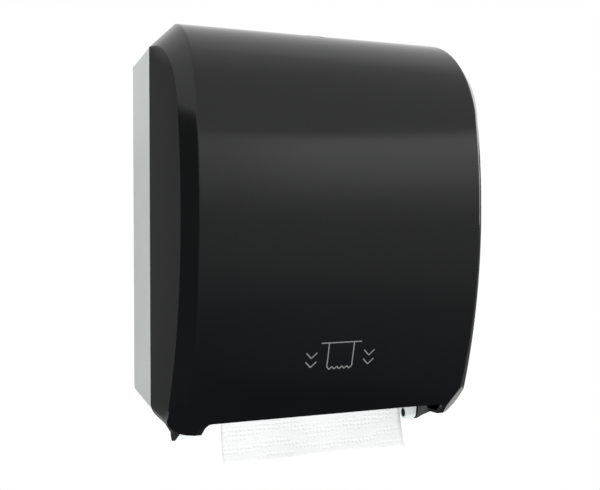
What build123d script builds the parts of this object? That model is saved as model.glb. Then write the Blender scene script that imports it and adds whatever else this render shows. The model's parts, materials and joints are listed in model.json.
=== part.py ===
from build123d import *
import os
from math import acos, asin, atan2, cos, degrees, hypot, radians, sin, sqrt, tan

# Roll towel dispenser for a wall. X runs to the right along the wall, Y points into the wall
# and Z up. The origin is the middle of the wall screws, on the back of the housing.

# Casing
case_width = 337.0            # across the housing and the cover at their seam
case_height = 379.5           # lower edge of the housing to the top of the crown's arc
case_depth = 202.0            # wall to the most forward point of the cover
housing_depth = 103.0         # wall to the seam
mount_height = 190.0          # lower edge of the housing to the middle of the wall screws
housing_wall = 3.0
cover_wall = 2.8
seam_gap = 0.6                # open joint between housing and cover
back_edge_radius = 5.0        # lower back edge of the housing

# Cover
bevel_width = 26.0            # each bevel beside the bowed front
bow_height = 193.5            # lower edge of the housing to the most forward point
crown_radius = 119.0
upper_bow_radius = 532.0
lower_bow_radius = 497.0
side_taper = 9.3              # degrees, sides drawn in towards the front
bevel_drop = 28.5             # bevel at the crown, in height
bevel_setback = 37.5          # bevel at the bow, in depth, where it is as wide as the case
bevel_bow_height = 190.0      # the same places along the bevel's outer edge
bevel_crown_radius = 60.0
bevel_upper_radius = 610.0
bevel_lower_radius = 658.0
bevel_round = 4.0             # rounded edge between front and bevel
chin_drop = 10.0              # end of the lower bow below the housing's lower edge
bevel_chin_rise = 2.0         # the same end at the full width of the case, above that edge
foot_drop = 21.2              # underside of the lower corners below that edge
bevel_foot_drop = 6.3
foot_front = 40.0             # underside of the lower corners, from the seam
foot_back = 27.0
bevel_foot_front = 32.0
bevel_foot_back = 26.0
skirt_front = 19.0            # where the lower corners run up to the side's lower edge, from the seam
skirt_drop = 6.0
skirt_rear = 7.0
skirt_rear_drop = 4.2
seam_drop = 1.0               # side's lower edge at the seam
corner_rise = 7.6             # top of the cut lower corners, above the housing's lower edge
corner_turn = 26.3            # degrees, cut corner turned outwards
corner_pitch = 40.9           # degrees, cut corner turned down
lip_drop = 6.7                # lower edge of the front between the corners
outlet_width = 250.0          # open underside of the cover, at the lip
outlet_flare = 5.0            # each side of the outlet widens by this at its mouth
outlet_corner_radius = 5.0
bevel_face_share = 0.45       # how far a wall draws in the face of the bevel, per wall
bevel_edge_share = 1.55       # how far it draws in the outer edge of the bevel, per wall

# Cover hinge
hinge_setback = 73.0          # wall to the hinge axis
hinge_drop = 35.0             # lower edge of the housing down to the hinge axis
barrel_inner = 125.0          # inner end of each barrel, from the middle
barrel_length = 13.0
barrel_radius = 7.0
barrel_root = 24.0            # width of the barrel's web at the housing's floor
ear_gap = 1.0                 # between barrel and ear
ear_thickness = 13.0
ear_radius = 8.0
ear_tip = 2.5                 # thickness of the ear's lower end
ear_tip_drop = 1.0            # its slanted outer face starts this much below the hinge axis
ear_slant = 17.0              # height of the slanted face
stub_radius = 5.0             # hinge stub on each ear
stub_length = 7.0             # length of stub in its barrel
running_gap = 0.05            # radial, on each turning shaft
fixed_gap = 0.01              # radial, on each pressed shaft

# Wall screws and bosses on the back wall
wall_screw_span_x = 280.0
wall_screw_span_z = 240.0
wall_screw_radius = 2.75
boss_radius = 5.5
boss_height = 6.0
screw_radius = 1.6
screw_head_radius = 3.6
screw_head_height = 2.2
screw_bite = 6.5              # length of screw below what it holds
rim_length = 6.0              # locating rims on the housing's side walls
rim_thickness = 1.6
rim_gap = 0.6                 # between rim and cover
rim_margin = 40.0             # the rims stop short of the housing's ends by this

# Towel roll
roll_room = 18.6              # full roll to the casing, at the back and at the front
roll_height = 268.0           # lower edge of the housing to the roll's axis
towel_width = 200.0
core_radius = 20.5
core_wall = 1.5
hub_flange_radius = 26.0
hub_flange = 3.0
hub_spigot = 22.0             # length of hub inside the core
hub_journal_radius = 8.0
hub_journal = 8.5
core_gap = 0.05

# Roll arms
arm_gap = 0.5                 # between hub flange and arm
arm_thickness = 6.0
arm_root = 46.0               # height of the arm at the back wall
arm_end_radius = 17.0
arm_screw_span = 24.0
flange_width = 16.0           # screwed feet of the arms and side frames
flange_thickness = 4.0

# Feed drum
drum_setback = 70.0
drum_height = 105.0
drum_radius = 40.0
drum_wall = 3.0
drum_length = 216.0
drum_cap = 4.0
shaft_radius = 5.0
band_width = 12.0
band_pitch = 50.0
band_count = 4
band_depth = 1.0
band_proud = 0.2

# Mechanism side frames
frame_gap = 5.0               # between the drum's end and a side frame
frame_thickness = 4.0
frame_front = 138.0           # wall to the front of the frames
frame_low = 34.0              # lower edge of the housing to the frames' lower edge
frame_high = 172.0
frame_corner = 26.0           # cut corner at the top front
frame_screw_low = 48.0
frame_screw_high = 152.0
bush_radius = 9.0
bush_flange_radius = 12.0
bush_flange = 2.0
tie_radius = 4.0
tie_setback = 20.0
tie_low = 64.0
tie_high = 150.0

# Crank and return spring, on the left; hand wheel, on the right
crank_gap = 1.5               # between bush flange and crank disc or hand wheel
crank_disc_radius = 20.0
crank_disc = 4.0
crank_throw = 15.0
crank_pin_radius = 2.5
crank_pin_length = 10.0
post_setback = 30.0
post_height = 165.0
post_radius = 3.0
post_head_radius = 5.0
post_head = 1.5
spring_radius = 4.2
spring_hook = 10.0            # length of each end hook
spring_wire = 1.2
spring_eye_gap = 0.3
wheel_radius = 26.0
wheel_width = 12.0
wheel_notches = 24
wheel_notch_radius = 2.0
wheel_hub_radius = 9.0
wheel_dish = 3.0

# Knife, hung in the drum
knife_pivot_out = 24.0        # pivot from the drum's axis, towards the knife slot
knife_pivot_aside = 16.0      # pivot off the middle of the slot, towards the wall
slot_turn = 14.5              # degrees, slot's middle from straight down towards the wall
knife_reach = 19.0            # pivot to the blade's tip
knife_tilt = 54.6             # degrees, blade from the slot's middle line at rest
knife_bar = 12.0              # pivot to the end of the holder's bar
knife_bar_low = 3.0
knife_bar_high = 1.5
knife_boss_radius = 4.5
blade_thickness = 0.8
blade_start = 5.0
blade_teeth = 40
tooth_depth = 3.0
slot_ahead = 7.0
slot_behind = 20.0
slot_margin = 4.5             # drum's end to the knife slot
knife_end_gap = 1.0           # holder to the drum's end cap
knife_pin_radius = 2.5
knife_pin_grip = 10.0
knife_spring_length = 8.0     # coil that draws the knife in, on its left pin
knife_spring_wire = 1.3
knife_spring_gap = 0.1
follower_reach_out = -2.0
follower_reach_aside = -10.0
follower_radius = 4.0
follower_arm = 1.5
follower_gap = 0.5            # drum's end to the follower
cam_gap = 0.3                 # between follower arm and cam
cam_lobe_gap = 0.5            # between follower and the cam's lobe
cam_lobe_radius = 8.0
cam_lobe_rise = 4.5
cam_bore = 8.0

# Pinch roller
pinch_angle = 20.0            # degrees above the drum's front
pinch_radius = 8.0
pinch_shaft_radius = 3.0
pinch_sleeve = 60.0
pinch_sleeve_gap = 8.0
pinch_sleeves_across = 3
block_size = 14.0
block_lap = 1.0               # block stands out of the frame on both sides
block_gap = 0.2
pinch_spring_length = 8.0
pinch_spring_radius = 3.5
pinch_spring_bore = 2.6
pinch_shaft_end = 2.0         # shaft past the blocks

# Towel and paper guides
sheet_thickness = 0.8
sheet_gap = 0.3               # towel to the roll, drum and pinch roller
tail_drop = 60.0              # lower edge of the housing to the towel's lower edge
curl_length = 50.0
curl_radius = 190.0
guide_thickness = 2.5
front_guide_gap = 7.8         # towel to the front guide
front_guide_low = 10.0
front_guide_high = 96.0
guide_roll_radius = 3.0
rear_guide_gap = 4.0          # towel to the rear guide
rear_guide_low = 6.0
rear_guide_high = 52.0

# Lock, in the crown of the cover
lock_lead = 12.0              # seam to the lock's axis
lock_radius = 8.5
lock_recess = 0.5             # lock's face below the crown
lock_flange_radius = 10.0
lock_flange = 1.2
lock_flange_gap = 0.8         # between the flange and the crown's inside
lock_body_length = 18.0       # below the crown
lock_plug_radius = 5.5
lock_stem_radius = 3.0
key_slot_width = 1.6
key_slot_length = 7.0
key_slot_depth = 3.0
tongue_length = 20.0
tongue_width = 8.0
tongue_thickness = 2.5
tongue_gap = 0.5              # between lock body and tongue
lock_nut_radius = 5.0
lock_nut = 1.8
keeper_offset = 11.5          # middle of the casing to the keeper
keeper_width = 14.0
keeper_strip = 3.0
keeper_head = 1.2             # strip below the inside of the crown
keeper_gap = 1.3              # post in front of the locked tongue
keeper_post = 15.0            # length of the post
keeper_foot = 38.0
keeper_clear = 2.0            # seam to the keeper's foot
keeper_screw_span = 20.0
keeper_bite = 2.4             # depth of the keeper screws in the housing's top

# Places worked out from the sizes
base_z = -mount_height
crown_z = base_z + case_height
bow_z = base_z + bow_height
case_half = case_width / 2
face_half = case_half - bevel_width
seam_y = -housing_depth
hinge_y = -hinge_setback
hinge_z = base_z - hinge_drop
roll_radius = (case_depth - housing_wall - cover_wall) / 2 - roll_room
roll_y = -(housing_wall + roll_room + roll_radius)
roll_z = base_z + roll_height
drum_y = -drum_setback
drum_z = base_z + drum_height
boss_y = -(housing_wall + boss_height)
drum_end = drum_length / 2
frame_inner = drum_end + frame_gap
frame_outer = frame_inner + frame_thickness
bush_outer = frame_outer + bush_flange
arm_inner = towel_width / 2 + sheet_gap + hub_flange + arm_gap
arm_outer = arm_inner + arm_thickness
band_radius = drum_radius + band_proud
sheet_inner = band_radius + sheet_gap
sheet_outer = sheet_inner + sheet_thickness
pinch_reach = sheet_outer + sheet_gap + pinch_radius
ear_inner = barrel_inner + barrel_length + ear_gap
ear_outer = ear_inner + ear_thickness
sides = ((-1, "left"), (1, "right"))


def save(piece, name):
    """Label a finished piece and write it."""
    piece.label = name
    export_step(piece, f"parts/{name}.step")


def on_drum(angle, radius):
    """Place in the side view at an angle above the drum's front."""
    return (drum_y - radius * cos(radians(angle)), drum_z + radius * sin(radians(angle)))


def side_plane(x):
    """Side view plane at a distance from the middle, with Y across and Z up."""
    return Plane.YZ.offset(x)


def cover_outline(x, depth, bow, crown, crown_r, upper_r, lower_r, chin, foot, foot_from, foot_to, inset):
    """Closed side view of the cover at x, from the seam over the crown and bow to the underside."""
    bow_y = -depth + inset
    crown_r = crown_r - inset
    upper_r = upper_r - inset
    lower_r = lower_r - inset
    rear = seam_y + inset
    lean = asin((crown - inset - bow - crown_r) / (upper_r - crown_r))
    crown_y = bow_y + upper_r - (upper_r - crown_r) * cos(lean)
    end_lean = acos((crown_y - rear) / crown_r)
    chin_turn = asin((bow - chin - inset) / lower_r)
    with BuildSketch(side_plane(x)) as outline:
        with BuildLine():
            lower = JernArc((bow_y, bow), (0, -1), lower_r, degrees(chin_turn))
            upper = JernArc((bow_y, bow), (0, 1), upper_r, -degrees(lean))
            over = JernArc(upper @ 1, upper % 1, crown_r, -degrees(end_lean - lean))
            Polyline(
                lower @ 1,
                (seam_y - foot_from + inset / 2, foot + inset),
                (seam_y - foot_to, foot + inset),
                (seam_y - skirt_front, base_z - skirt_drop + inset),
                (seam_y - skirt_rear, base_z - skirt_rear_drop + inset),
                (rear, base_z - seam_drop + inset),
                over @ 1,
            )
        make_face()
    return outline.sketch


def corner_plane(side):
    """Plane of a cut lower corner, facing outwards, forwards and down."""
    fall = bow_height - corner_rise
    place_y = -case_depth + lower_bow_radius - sqrt(lower_bow_radius ** 2 - fall ** 2)
    turn = radians(corner_turn)
    pitch = radians(corner_pitch)
    facing = (side * cos(pitch) * sin(turn), -cos(pitch) * cos(turn), -sin(pitch))
    return Plane(origin=(side * face_half, place_y, base_z + corner_rise), z_dir=facing)


def cover_block(inset):
    """Solid cover, or the hollow inside it for an inset of one wall."""
    face_x = face_half - bevel_face_share * inset
    edge_inset = bevel_edge_share * inset
    outlines = []
    for x in (-case_half, -face_x, face_x, case_half):
        if abs(x) < case_half:
            outline = cover_outline(x, case_depth, bow_z, crown_z, crown_radius, upper_bow_radius,
                                    lower_bow_radius, base_z - chin_drop, base_z - foot_drop,
                                    foot_front, foot_back, inset)
        else:
            outline = cover_outline(x, case_depth - bevel_setback, base_z + bevel_bow_height,
                                    crown_z - bevel_drop, bevel_crown_radius, bevel_upper_radius,
                                    bevel_lower_radius, base_z + bevel_chin_rise, base_z - bevel_foot_drop,
                                    bevel_foot_front, bevel_foot_back, edge_inset)
        outlines.append(outline)
    with BuildPart() as block:
        loft(sections=[outline.face() for outline in outlines], ruled=True)
        if inset == 0:
            bowed = block.edges().filter_by(GeomType.CIRCLE)
            front_edges = bowed.filter_by(lambda e: abs(abs(e.center().X) - face_half) < seam_gap)
            fillet(front_edges, radius=bevel_round)
        lean = radians(side_taper)
        for side, _ in sides:
            place = (side * (case_half - inset / cos(lean)), seam_y, 0)
            split(bisect_by=Plane(origin=place, z_dir=(side * cos(lean), -sin(lean), 0)), keep=Keep.BOTTOM)
            split(bisect_by=corner_plane(side).offset(-inset), keep=Keep.BOTTOM)
    return block.part


def hinge_ear(side):
    """Gusset from a lower corner of the cover back and down to its stub on the hinge axis."""
    with BuildPart() as ear:
        with BuildSketch(side_plane(side * ear_inner)):
            with BuildLine():
                Polyline(
                    (seam_y - (foot_back + skirt_front) / 2, base_z - (foot_drop + skirt_drop) / 2),
                    (seam_y - skirt_front, base_z - skirt_drop + cover_wall / 2),
                    (seam_y - skirt_rear, base_z - skirt_rear_drop + cover_wall / 2),
                    (seam_y - cover_wall, base_z - seam_drop - cover_wall),
                    (hinge_y + ear_radius / 2, hinge_z + ear_radius * sqrt(3) / 2),
                    (hinge_y - ear_radius / 2, hinge_z - ear_radius * sqrt(3) / 2),
                    close=True,
                )
            make_face()
            with Locations((hinge_y, hinge_z)):
                Circle(ear_radius)
        extrude(amount=side * ear_thickness)
        with BuildSketch(Plane.XZ):
            with BuildLine():
                Polyline(
                    (side * ear_inner, hinge_z - ear_radius),
                    (side * (ear_inner + ear_tip), hinge_z - ear_radius),
                    (side * (ear_inner + ear_tip), hinge_z - ear_tip_drop),
                    (side * ear_outer, hinge_z - ear_tip_drop + ear_slant),
                    (side * ear_outer, base_z),
                    (side * ear_inner, base_z),
                    close=True,
                )
            make_face()
        extrude(amount=case_depth, mode=Mode.INTERSECT)
        with BuildSketch(side_plane(side * ear_inner)):
            with Locations((hinge_y, hinge_z)):
                Circle(stub_radius)
        extrude(amount=-side * (ear_gap + stub_length))
    return ear.part


os.makedirs("parts", exist_ok=True)

# Lock axis: square to the crown where the lock sits
crown_lean = asin((crown_z - bow_z - crown_radius) / (upper_bow_radius - crown_radius))
crown_middle_y = -case_depth + upper_bow_radius - (upper_bow_radius - crown_radius) * cos(crown_lean)
lock_y = seam_y - lock_lead
lock_lean = asin((crown_middle_y - lock_y) / crown_radius)
lock_plane = Plane(
    origin=(0, lock_y, crown_z - crown_radius + crown_radius * cos(lock_lean)),
    x_dir=(1, 0, 0),
    z_dir=(0, -sin(lock_lean), cos(lock_lean)),
)

# Front cover: bowed shell, open at the seam and underneath, with its two ears
with BuildPart() as front_cover:
    add(cover_block(0))
    add(cover_block(cover_wall), mode=Mode.SUBTRACT)
    with BuildSketch(Plane.XZ.offset(housing_depth - seam_gap)) as outlet:
        mouth = outlet_width / 2 + outlet_flare
        with BuildLine():
            Polyline(
                (-outlet_width / 2, base_z - lip_drop),
                (outlet_width / 2, base_z - lip_drop),
                (mouth, base_z - foot_drop),
                (-mouth, base_z - foot_drop),
                close=True,
            )
        make_face()
        fillet(outlet.vertices().group_by(Axis.Y)[-1], radius=outlet_corner_radius)
    extrude(amount=case_depth, mode=Mode.SUBTRACT)
    with BuildSketch(Plane.XY.offset(base_z - foot_drop)):
        with Locations((0, seam_y - foot_front / 2)):
            Rectangle(outlet_width, foot_front)
    extrude(amount=foot_drop + 2 * cover_wall, mode=Mode.SUBTRACT)
    for side, _ in sides:
        add(hinge_ear(side))
    with BuildSketch(lock_plane.offset(-lock_body_length)):
        Circle(lock_radius + fixed_gap)
    extrude(amount=2 * lock_body_length, mode=Mode.SUBTRACT)
save(front_cover.part, "front_cover")


def housing_outline(setback, inset):
    """Front view of the housing at a distance from the wall, with its two upper corners cut."""
    with BuildSketch(Plane.XZ.offset(setback)) as outline:
        with BuildLine():
            Polyline(
                (-case_half, base_z),
                (case_half, base_z),
                (case_half, crown_z - bevel_drop),
                (face_half, housing_crown),
                (-face_half, housing_crown),
                (-case_half, crown_z - bevel_drop),
                close=True,
            )
        make_face()
        if inset:
            offset(amount=-inset, kind=Kind.INTERSECTION, mode=Mode.REPLACE)
    return outline.sketch


# Top of the housing, flush with the crown at the seam
housing_crown = crown_z - crown_radius + sqrt(crown_radius ** 2 - (crown_middle_y - seam_y) ** 2)
housing_top = housing_crown - housing_wall

# Screwed feet on the back wall: side frames and roll arms
frame_foot_x = frame_outer + flange_width / 2
arm_foot_x = arm_outer + flange_width / 2
frame_screw_places = [
    (side * frame_foot_x, base_z + height)
    for side, _ in sides
    for height in (frame_screw_low, frame_screw_high)
]
arm_screw_places = [
    (side * arm_foot_x, roll_z + step * arm_screw_span / 2)
    for side, _ in sides
    for step in (-1, 1)
]

keeper_y = seam_y + seam_gap + keeper_clear + keeper_foot / 2
keeper_screw_places = [
    (keeper_offset + keeper_width / 2, keeper_y + step * keeper_screw_span / 2) for step in (-1, 1)
]

# Rear housing: open tray against the wall, with bosses, rims and hinge barrels
with BuildPart() as rear_housing:
    extrude(housing_outline(0, 0), amount=housing_depth - seam_gap)
    lower_edges = rear_housing.edges().filter_by(Axis.X).group_by(Axis.Z)[0]
    fillet(lower_edges.sort_by(Axis.Y)[-1], radius=back_edge_radius)
    extrude(housing_outline(housing_wall, housing_wall), amount=housing_depth, mode=Mode.SUBTRACT)
    with BuildSketch(Plane.XZ.offset(housing_wall)):
        with Locations(*frame_screw_places, *arm_screw_places):
            Circle(boss_radius)
    extrude(amount=boss_height)
    with BuildSketch(Plane.XZ.offset(-boss_y)):
        with Locations(*frame_screw_places, *arm_screw_places):
            Circle(screw_radius + fixed_gap)
    extrude(amount=-screw_bite, mode=Mode.SUBTRACT)
    with BuildSketch(Plane.XZ):
        with GridLocations(wall_screw_span_x, wall_screw_span_z, 2, 2):
            Circle(wall_screw_radius)
    extrude(amount=housing_wall, mode=Mode.SUBTRACT)
    rim_x = case_half - cover_wall - rim_gap - rim_length * tan(radians(side_taper)) - rim_thickness
    for side, _ in sides:
        with BuildSketch(Plane.XY.offset(base_z + rim_margin)):
            with BuildLine():
                Polyline(
                    (side * rim_x, seam_y - rim_length),
                    (side * (rim_x + rim_thickness), seam_y - rim_length),
                    (side * (rim_x + rim_thickness), seam_y + rim_length),
                    (side * (case_half - housing_wall / 2), seam_y + rim_length),
                    (side * (case_half - housing_wall / 2), seam_y + rim_length * 2),
                    (side * rim_x, seam_y + rim_length * 2),
                    close=True,
                )
            make_face()
        extrude(amount=case_height - bevel_drop - rim_margin * 2)
        with BuildSketch(side_plane(side * barrel_inner)):
            with BuildLine():
                Polyline(
                    (hinge_y - barrel_root / 2, base_z + housing_wall / 2),
                    (hinge_y + barrel_root / 2, base_z + housing_wall / 2),
                    (hinge_y + barrel_radius, hinge_z),
                    (hinge_y - barrel_radius, hinge_z),
                    close=True,
                )
            make_face()
            with Locations((hinge_y, hinge_z)):
                Circle(barrel_radius)
        extrude(amount=side * barrel_length)
        with BuildSketch(side_plane(side * barrel_inner)):
            with Locations((hinge_y, hinge_z)):
                Circle(stub_radius + running_gap)
        extrude(amount=side * barrel_length, mode=Mode.SUBTRACT)
    with BuildSketch(Plane.XY.offset(housing_top)):
        with Locations(*keeper_screw_places):
            Circle(screw_radius + fixed_gap)
    extrude(amount=keeper_bite, mode=Mode.SUBTRACT)
save(rear_housing.part, "rear_housing")


def disc(x, length, radius, place, bore=0.0):
    """Round piece along X, from x over a length, with an optional bore."""
    with BuildPart() as piece:
        with BuildSketch(side_plane(x)):
            with Locations(place):
                Circle(radius)
                if bore:
                    Circle(bore, mode=Mode.SUBTRACT)
        extrude(amount=length)
    return piece.part


def foot(side, inner, low, high, screw_places):
    """Screwed foot of an arm or a side frame, turned outwards along the back wall."""
    with BuildPart() as piece:
        with BuildSketch(Plane.XZ.offset(-boss_y)):
            with Locations((side * (inner + flange_width / 2), (low + high) / 2)):
                Rectangle(flange_width, high - low)
            with Locations(*(place for place in screw_places if place[0] * side > 0)):
                Circle(screw_radius + running_gap, mode=Mode.SUBTRACT)
        extrude(amount=flange_thickness)
    return piece.part


def wall_screws(places, name):
    """Pan-head screws through the feet into the bosses, one solid each."""
    with BuildPart() as screws:
        with BuildSketch(Plane.XZ.offset(-boss_y - screw_bite)):
            with Locations(*places):
                Circle(screw_radius)
        extrude(amount=screw_bite + flange_thickness)
        with BuildSketch(Plane.XZ.offset(-boss_y + flange_thickness)):
            with Locations(*places):
                Circle(screw_head_radius)
        extrude(amount=screw_head_height)
    save(screws.part, name)


# Towel roll: paper, cardboard core and two hubs
with BuildPart() as paper_roll:
    add(disc(-towel_width / 2, towel_width, roll_radius, (roll_y, roll_z), core_radius + core_gap))
save(paper_roll.part, "paper_roll")

with BuildPart() as roll_core:
    add(disc(-towel_width / 2, towel_width, core_radius, (roll_y, roll_z), core_radius - core_wall))
save(roll_core.part, "roll_core")

hub_face = towel_width / 2 + sheet_gap
for side, word in sides:
    with BuildPart() as roll_hub:
        add(disc(side * hub_face, side * hub_flange, hub_flange_radius, (roll_y, roll_z)))
        add(disc(side * hub_face, -side * hub_spigot, core_radius - core_wall - core_gap, (roll_y, roll_z)))
        add(disc(side * (hub_face + hub_flange), side * hub_journal, hub_journal_radius, (roll_y, roll_z)))
    save(roll_hub.part, f"roll_hub_{word}")

# Roll arms, open at the top so that the hubs drop in
for side, word in sides:
    seat_radius = hub_journal_radius + running_gap
    with BuildPart() as roll_arm:
        with BuildSketch(side_plane(side * arm_inner)):
            with BuildLine():
                Polyline(
                    (boss_y, roll_z - arm_root / 2),
                    (roll_y, roll_z - arm_end_radius),
                    (roll_y, roll_z + arm_end_radius),
                    (boss_y, roll_z + arm_root / 2),
                    close=True,
                )
            make_face()
            with Locations((roll_y, roll_z)):
                Circle(arm_end_radius)
                Circle(seat_radius, mode=Mode.SUBTRACT)
            with Locations((roll_y, roll_z + arm_root / 2)):
                Rectangle(2 * seat_radius, arm_root, mode=Mode.SUBTRACT)
        extrude(amount=side * arm_thickness)
        add(foot(side, arm_outer, roll_z - arm_root / 2, roll_z + arm_root / 2, arm_screw_places))
    save(roll_arm.part, f"roll_arm_{word}")
wall_screws(arm_screw_places, "arm_screws")

# Mechanism side frames, with a window for the pinch block
pinch_place = on_drum(pinch_angle, pinch_reach)
block_half = block_size / 2
window_length = block_size + 2 * block_gap + pinch_spring_length
window_middle = pinch_reach - block_half - block_gap + window_length / 2
for side, word in sides:
    with BuildPart() as side_frame:
        with BuildSketch(side_plane(side * frame_inner)):
            with BuildLine():
                Polyline(
                    (boss_y, base_z + frame_low),
                    (-frame_front, base_z + frame_low),
                    (-frame_front, base_z + frame_high - frame_corner),
                    (-frame_front + frame_corner, base_z + frame_high),
                    (boss_y, base_z + frame_high),
                    close=True,
                )
            make_face()
            with Locations((drum_y, drum_z)):
                Circle(bush_radius + fixed_gap, mode=Mode.SUBTRACT)
            with Locations(on_drum(pinch_angle, window_middle)):
                Rectangle(window_length, block_size + 2 * block_gap, rotation=-pinch_angle,
                          mode=Mode.SUBTRACT)
        extrude(amount=side * frame_thickness)
        add(foot(side, frame_outer, base_z + frame_low, base_z + frame_high, frame_screw_places))
    save(side_frame.part, f"side_frame_{word}")
wall_screws(frame_screw_places, "frame_screws")

# Tie bars between the side frames
with BuildPart() as tie_bars:
    for height in (tie_low, tie_high):
        add(disc(-frame_inner, 2 * frame_inner, tie_radius, (-tie_setback, base_z + height)))
save(tie_bars.part, "tie_bars")

# Flanged bushes for the drum shaft
for side, word in sides:
    with BuildPart() as drum_bush:
        add(disc(side * frame_inner, side * frame_thickness, bush_radius, (drum_y, drum_z)))
        add(disc(side * frame_outer, side * bush_flange, bush_flange_radius, (drum_y, drum_z)))
        with BuildSketch(side_plane(side * frame_inner)):
            with Locations((drum_y, drum_z)):
                Circle(shaft_radius + running_gap)
        extrude(amount=side * (frame_thickness + bush_flange), mode=Mode.SUBTRACT)
    save(drum_bush.part, f"drum_bush_{word}")

# Knife slot and pivot, seen from the drum's axis
slot_way = (0, sin(radians(slot_turn)), -cos(radians(slot_turn)))
slot_plane = Plane(origin=(0, drum_y, drum_z), x_dir=slot_way, z_dir=(1, 0, 0))
knife_pivot = (knife_pivot_out, knife_pivot_aside)
slot_end = drum_end - slot_margin


def knife_slot():
    """Block that opens the knife slot along the drum."""
    with BuildPart() as block:
        with BuildSketch(slot_plane.offset(-slot_end)):
            with Locations((drum_radius, (slot_behind - slot_ahead) / 2)):
                Rectangle(drum_radius, slot_ahead + slot_behind)
        extrude(amount=2 * slot_end)
    return block.part


# Feed drum: shell, friction bands, end caps and shaft
band_places = [(i - (band_count - 1) / 2) * band_pitch for i in range(band_count)]
groove_radius = drum_radius - band_depth
with BuildPart() as drum_shell:
    add(disc(-drum_end, drum_length, drum_radius, (drum_y, drum_z), drum_radius - drum_wall))
    for x in band_places:
        with BuildSketch(side_plane(x - band_width / 2)):
            with Locations((drum_y, drum_z)):
                Circle(drum_radius + band_depth)
                Circle(groove_radius, mode=Mode.SUBTRACT)
        extrude(amount=band_width, mode=Mode.SUBTRACT)
    add(knife_slot(), mode=Mode.SUBTRACT)
save(drum_shell.part, "drum_shell")

with BuildPart() as grip_bands:
    for x in band_places:
        add(disc(x - band_width / 2, band_width, band_radius, (drum_y, drum_z), groove_radius + fixed_gap))
    add(knife_slot(), mode=Mode.SUBTRACT)
save(grip_bands.part, "grip_bands")

for side, word in sides:
    with BuildPart() as drum_cap_piece:
        add(disc(side * drum_end, -side * drum_cap, drum_radius - drum_wall - fixed_gap, (drum_y, drum_z),
                 shaft_radius + fixed_gap))
        with BuildSketch(slot_plane.offset(side * drum_end)):
            with Locations(knife_pivot):
                Circle(knife_pin_radius + running_gap)
        extrude(amount=-side * drum_cap, mode=Mode.SUBTRACT)
    save(drum_cap_piece.part, f"drum_cap_{word}")

crank_inner = bush_outer + crank_gap
with BuildPart() as drum_shaft:
    shaft_left = crank_inner + crank_disc
    shaft_right = crank_inner + wheel_width
    add(disc(-shaft_left, shaft_left + shaft_right, shaft_radius, (drum_y, drum_z)))
save(drum_shaft.part, "drum_shaft")

# Hand feed wheel on the right, dished, with a notched rim
with BuildPart() as feed_wheel:
    with BuildSketch(side_plane(crank_inner)):
        with Locations((drum_y, drum_z)):
            Circle(wheel_radius)
            Circle(shaft_radius + fixed_gap, mode=Mode.SUBTRACT)
            with PolarLocations(wheel_radius, wheel_notches):
                Circle(wheel_notch_radius, mode=Mode.SUBTRACT)
    extrude(amount=wheel_width)
    with BuildSketch(side_plane(crank_inner + wheel_width)):
        with Locations((drum_y, drum_z)):
            Circle(wheel_radius - 2 * wheel_notch_radius)
            Circle(wheel_hub_radius, mode=Mode.SUBTRACT)
    extrude(amount=-wheel_dish, mode=Mode.SUBTRACT)
save(feed_wheel.part, "feed_wheel")

# Crank disc and pin on the left, pointing at the spring post
post_place = (-post_setback, base_z + post_height)
post_distance = hypot(post_place[0] - drum_y, post_place[1] - drum_z)
toward_post = ((post_place[0] - drum_y) / post_distance, (post_place[1] - drum_z) / post_distance)
crank_place = (drum_y + crank_throw * toward_post[0], drum_z + crank_throw * toward_post[1])
with BuildPart() as crank:
    add(disc(-crank_inner, -crank_disc, crank_disc_radius, (drum_y, drum_z), shaft_radius + fixed_gap))
    with BuildSketch(side_plane(-crank_inner)):
        with Locations(crank_place):
            Circle(crank_pin_radius + fixed_gap)
    extrude(amount=-crank_disc, mode=Mode.SUBTRACT)
save(crank.part, "crank_disc")

with BuildPart() as crank_pin:
    add(disc(-crank_inner, -(crank_disc + crank_pin_length), crank_pin_radius, crank_place))
save(crank_pin.part, "crank_pin")

spring_x = crank_inner + crank_disc + crank_pin_length / 2
with BuildPart() as spring_post:
    add(disc(-frame_outer, -(spring_x + crank_pin_length / 2 - frame_outer), post_radius, post_place))
    add(disc(-(spring_x + crank_pin_length / 2), -post_head, post_head_radius, post_place))
save(spring_post.part, "spring_post")

# Return spring: body and two hooked ends
spring_span = post_distance - crank_throw
spring_plane = Plane(
    origin=(-spring_x, crank_place[0], crank_place[1]),
    x_dir=(0, toward_post[0], toward_post[1]),
    z_dir=(1, 0, 0),
)
with BuildPart() as return_spring:
    with BuildSketch(spring_plane.offset(-spring_wire / 2)):
        for place, radius in ((0, crank_pin_radius), (spring_span, post_radius)):
            with Locations((place, 0)):
                Circle(radius + spring_eye_gap + spring_wire)
        with Locations((spring_span / 2, 0)):
            Rectangle(spring_span - 2 * spring_hook + spring_wire, spring_wire)
        for place in (spring_hook / 2, spring_span - spring_hook / 2):
            with Locations((place, 0)):
                Rectangle(spring_hook, spring_wire)
        for place, radius in ((0, crank_pin_radius), (spring_span, post_radius)):
            with Locations((place, 0)):
                Circle(radius + spring_eye_gap, mode=Mode.SUBTRACT)
    extrude(amount=spring_wire)
    body_start = spring_plane.from_local_coords(Vector(spring_hook, 0, 0))
    with BuildSketch(Plane(origin=body_start, z_dir=spring_plane.x_dir)):
        Circle(spring_radius)
    extrude(amount=spring_span - 2 * spring_hook)
save(return_spring.part, "return_spring")

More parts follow.
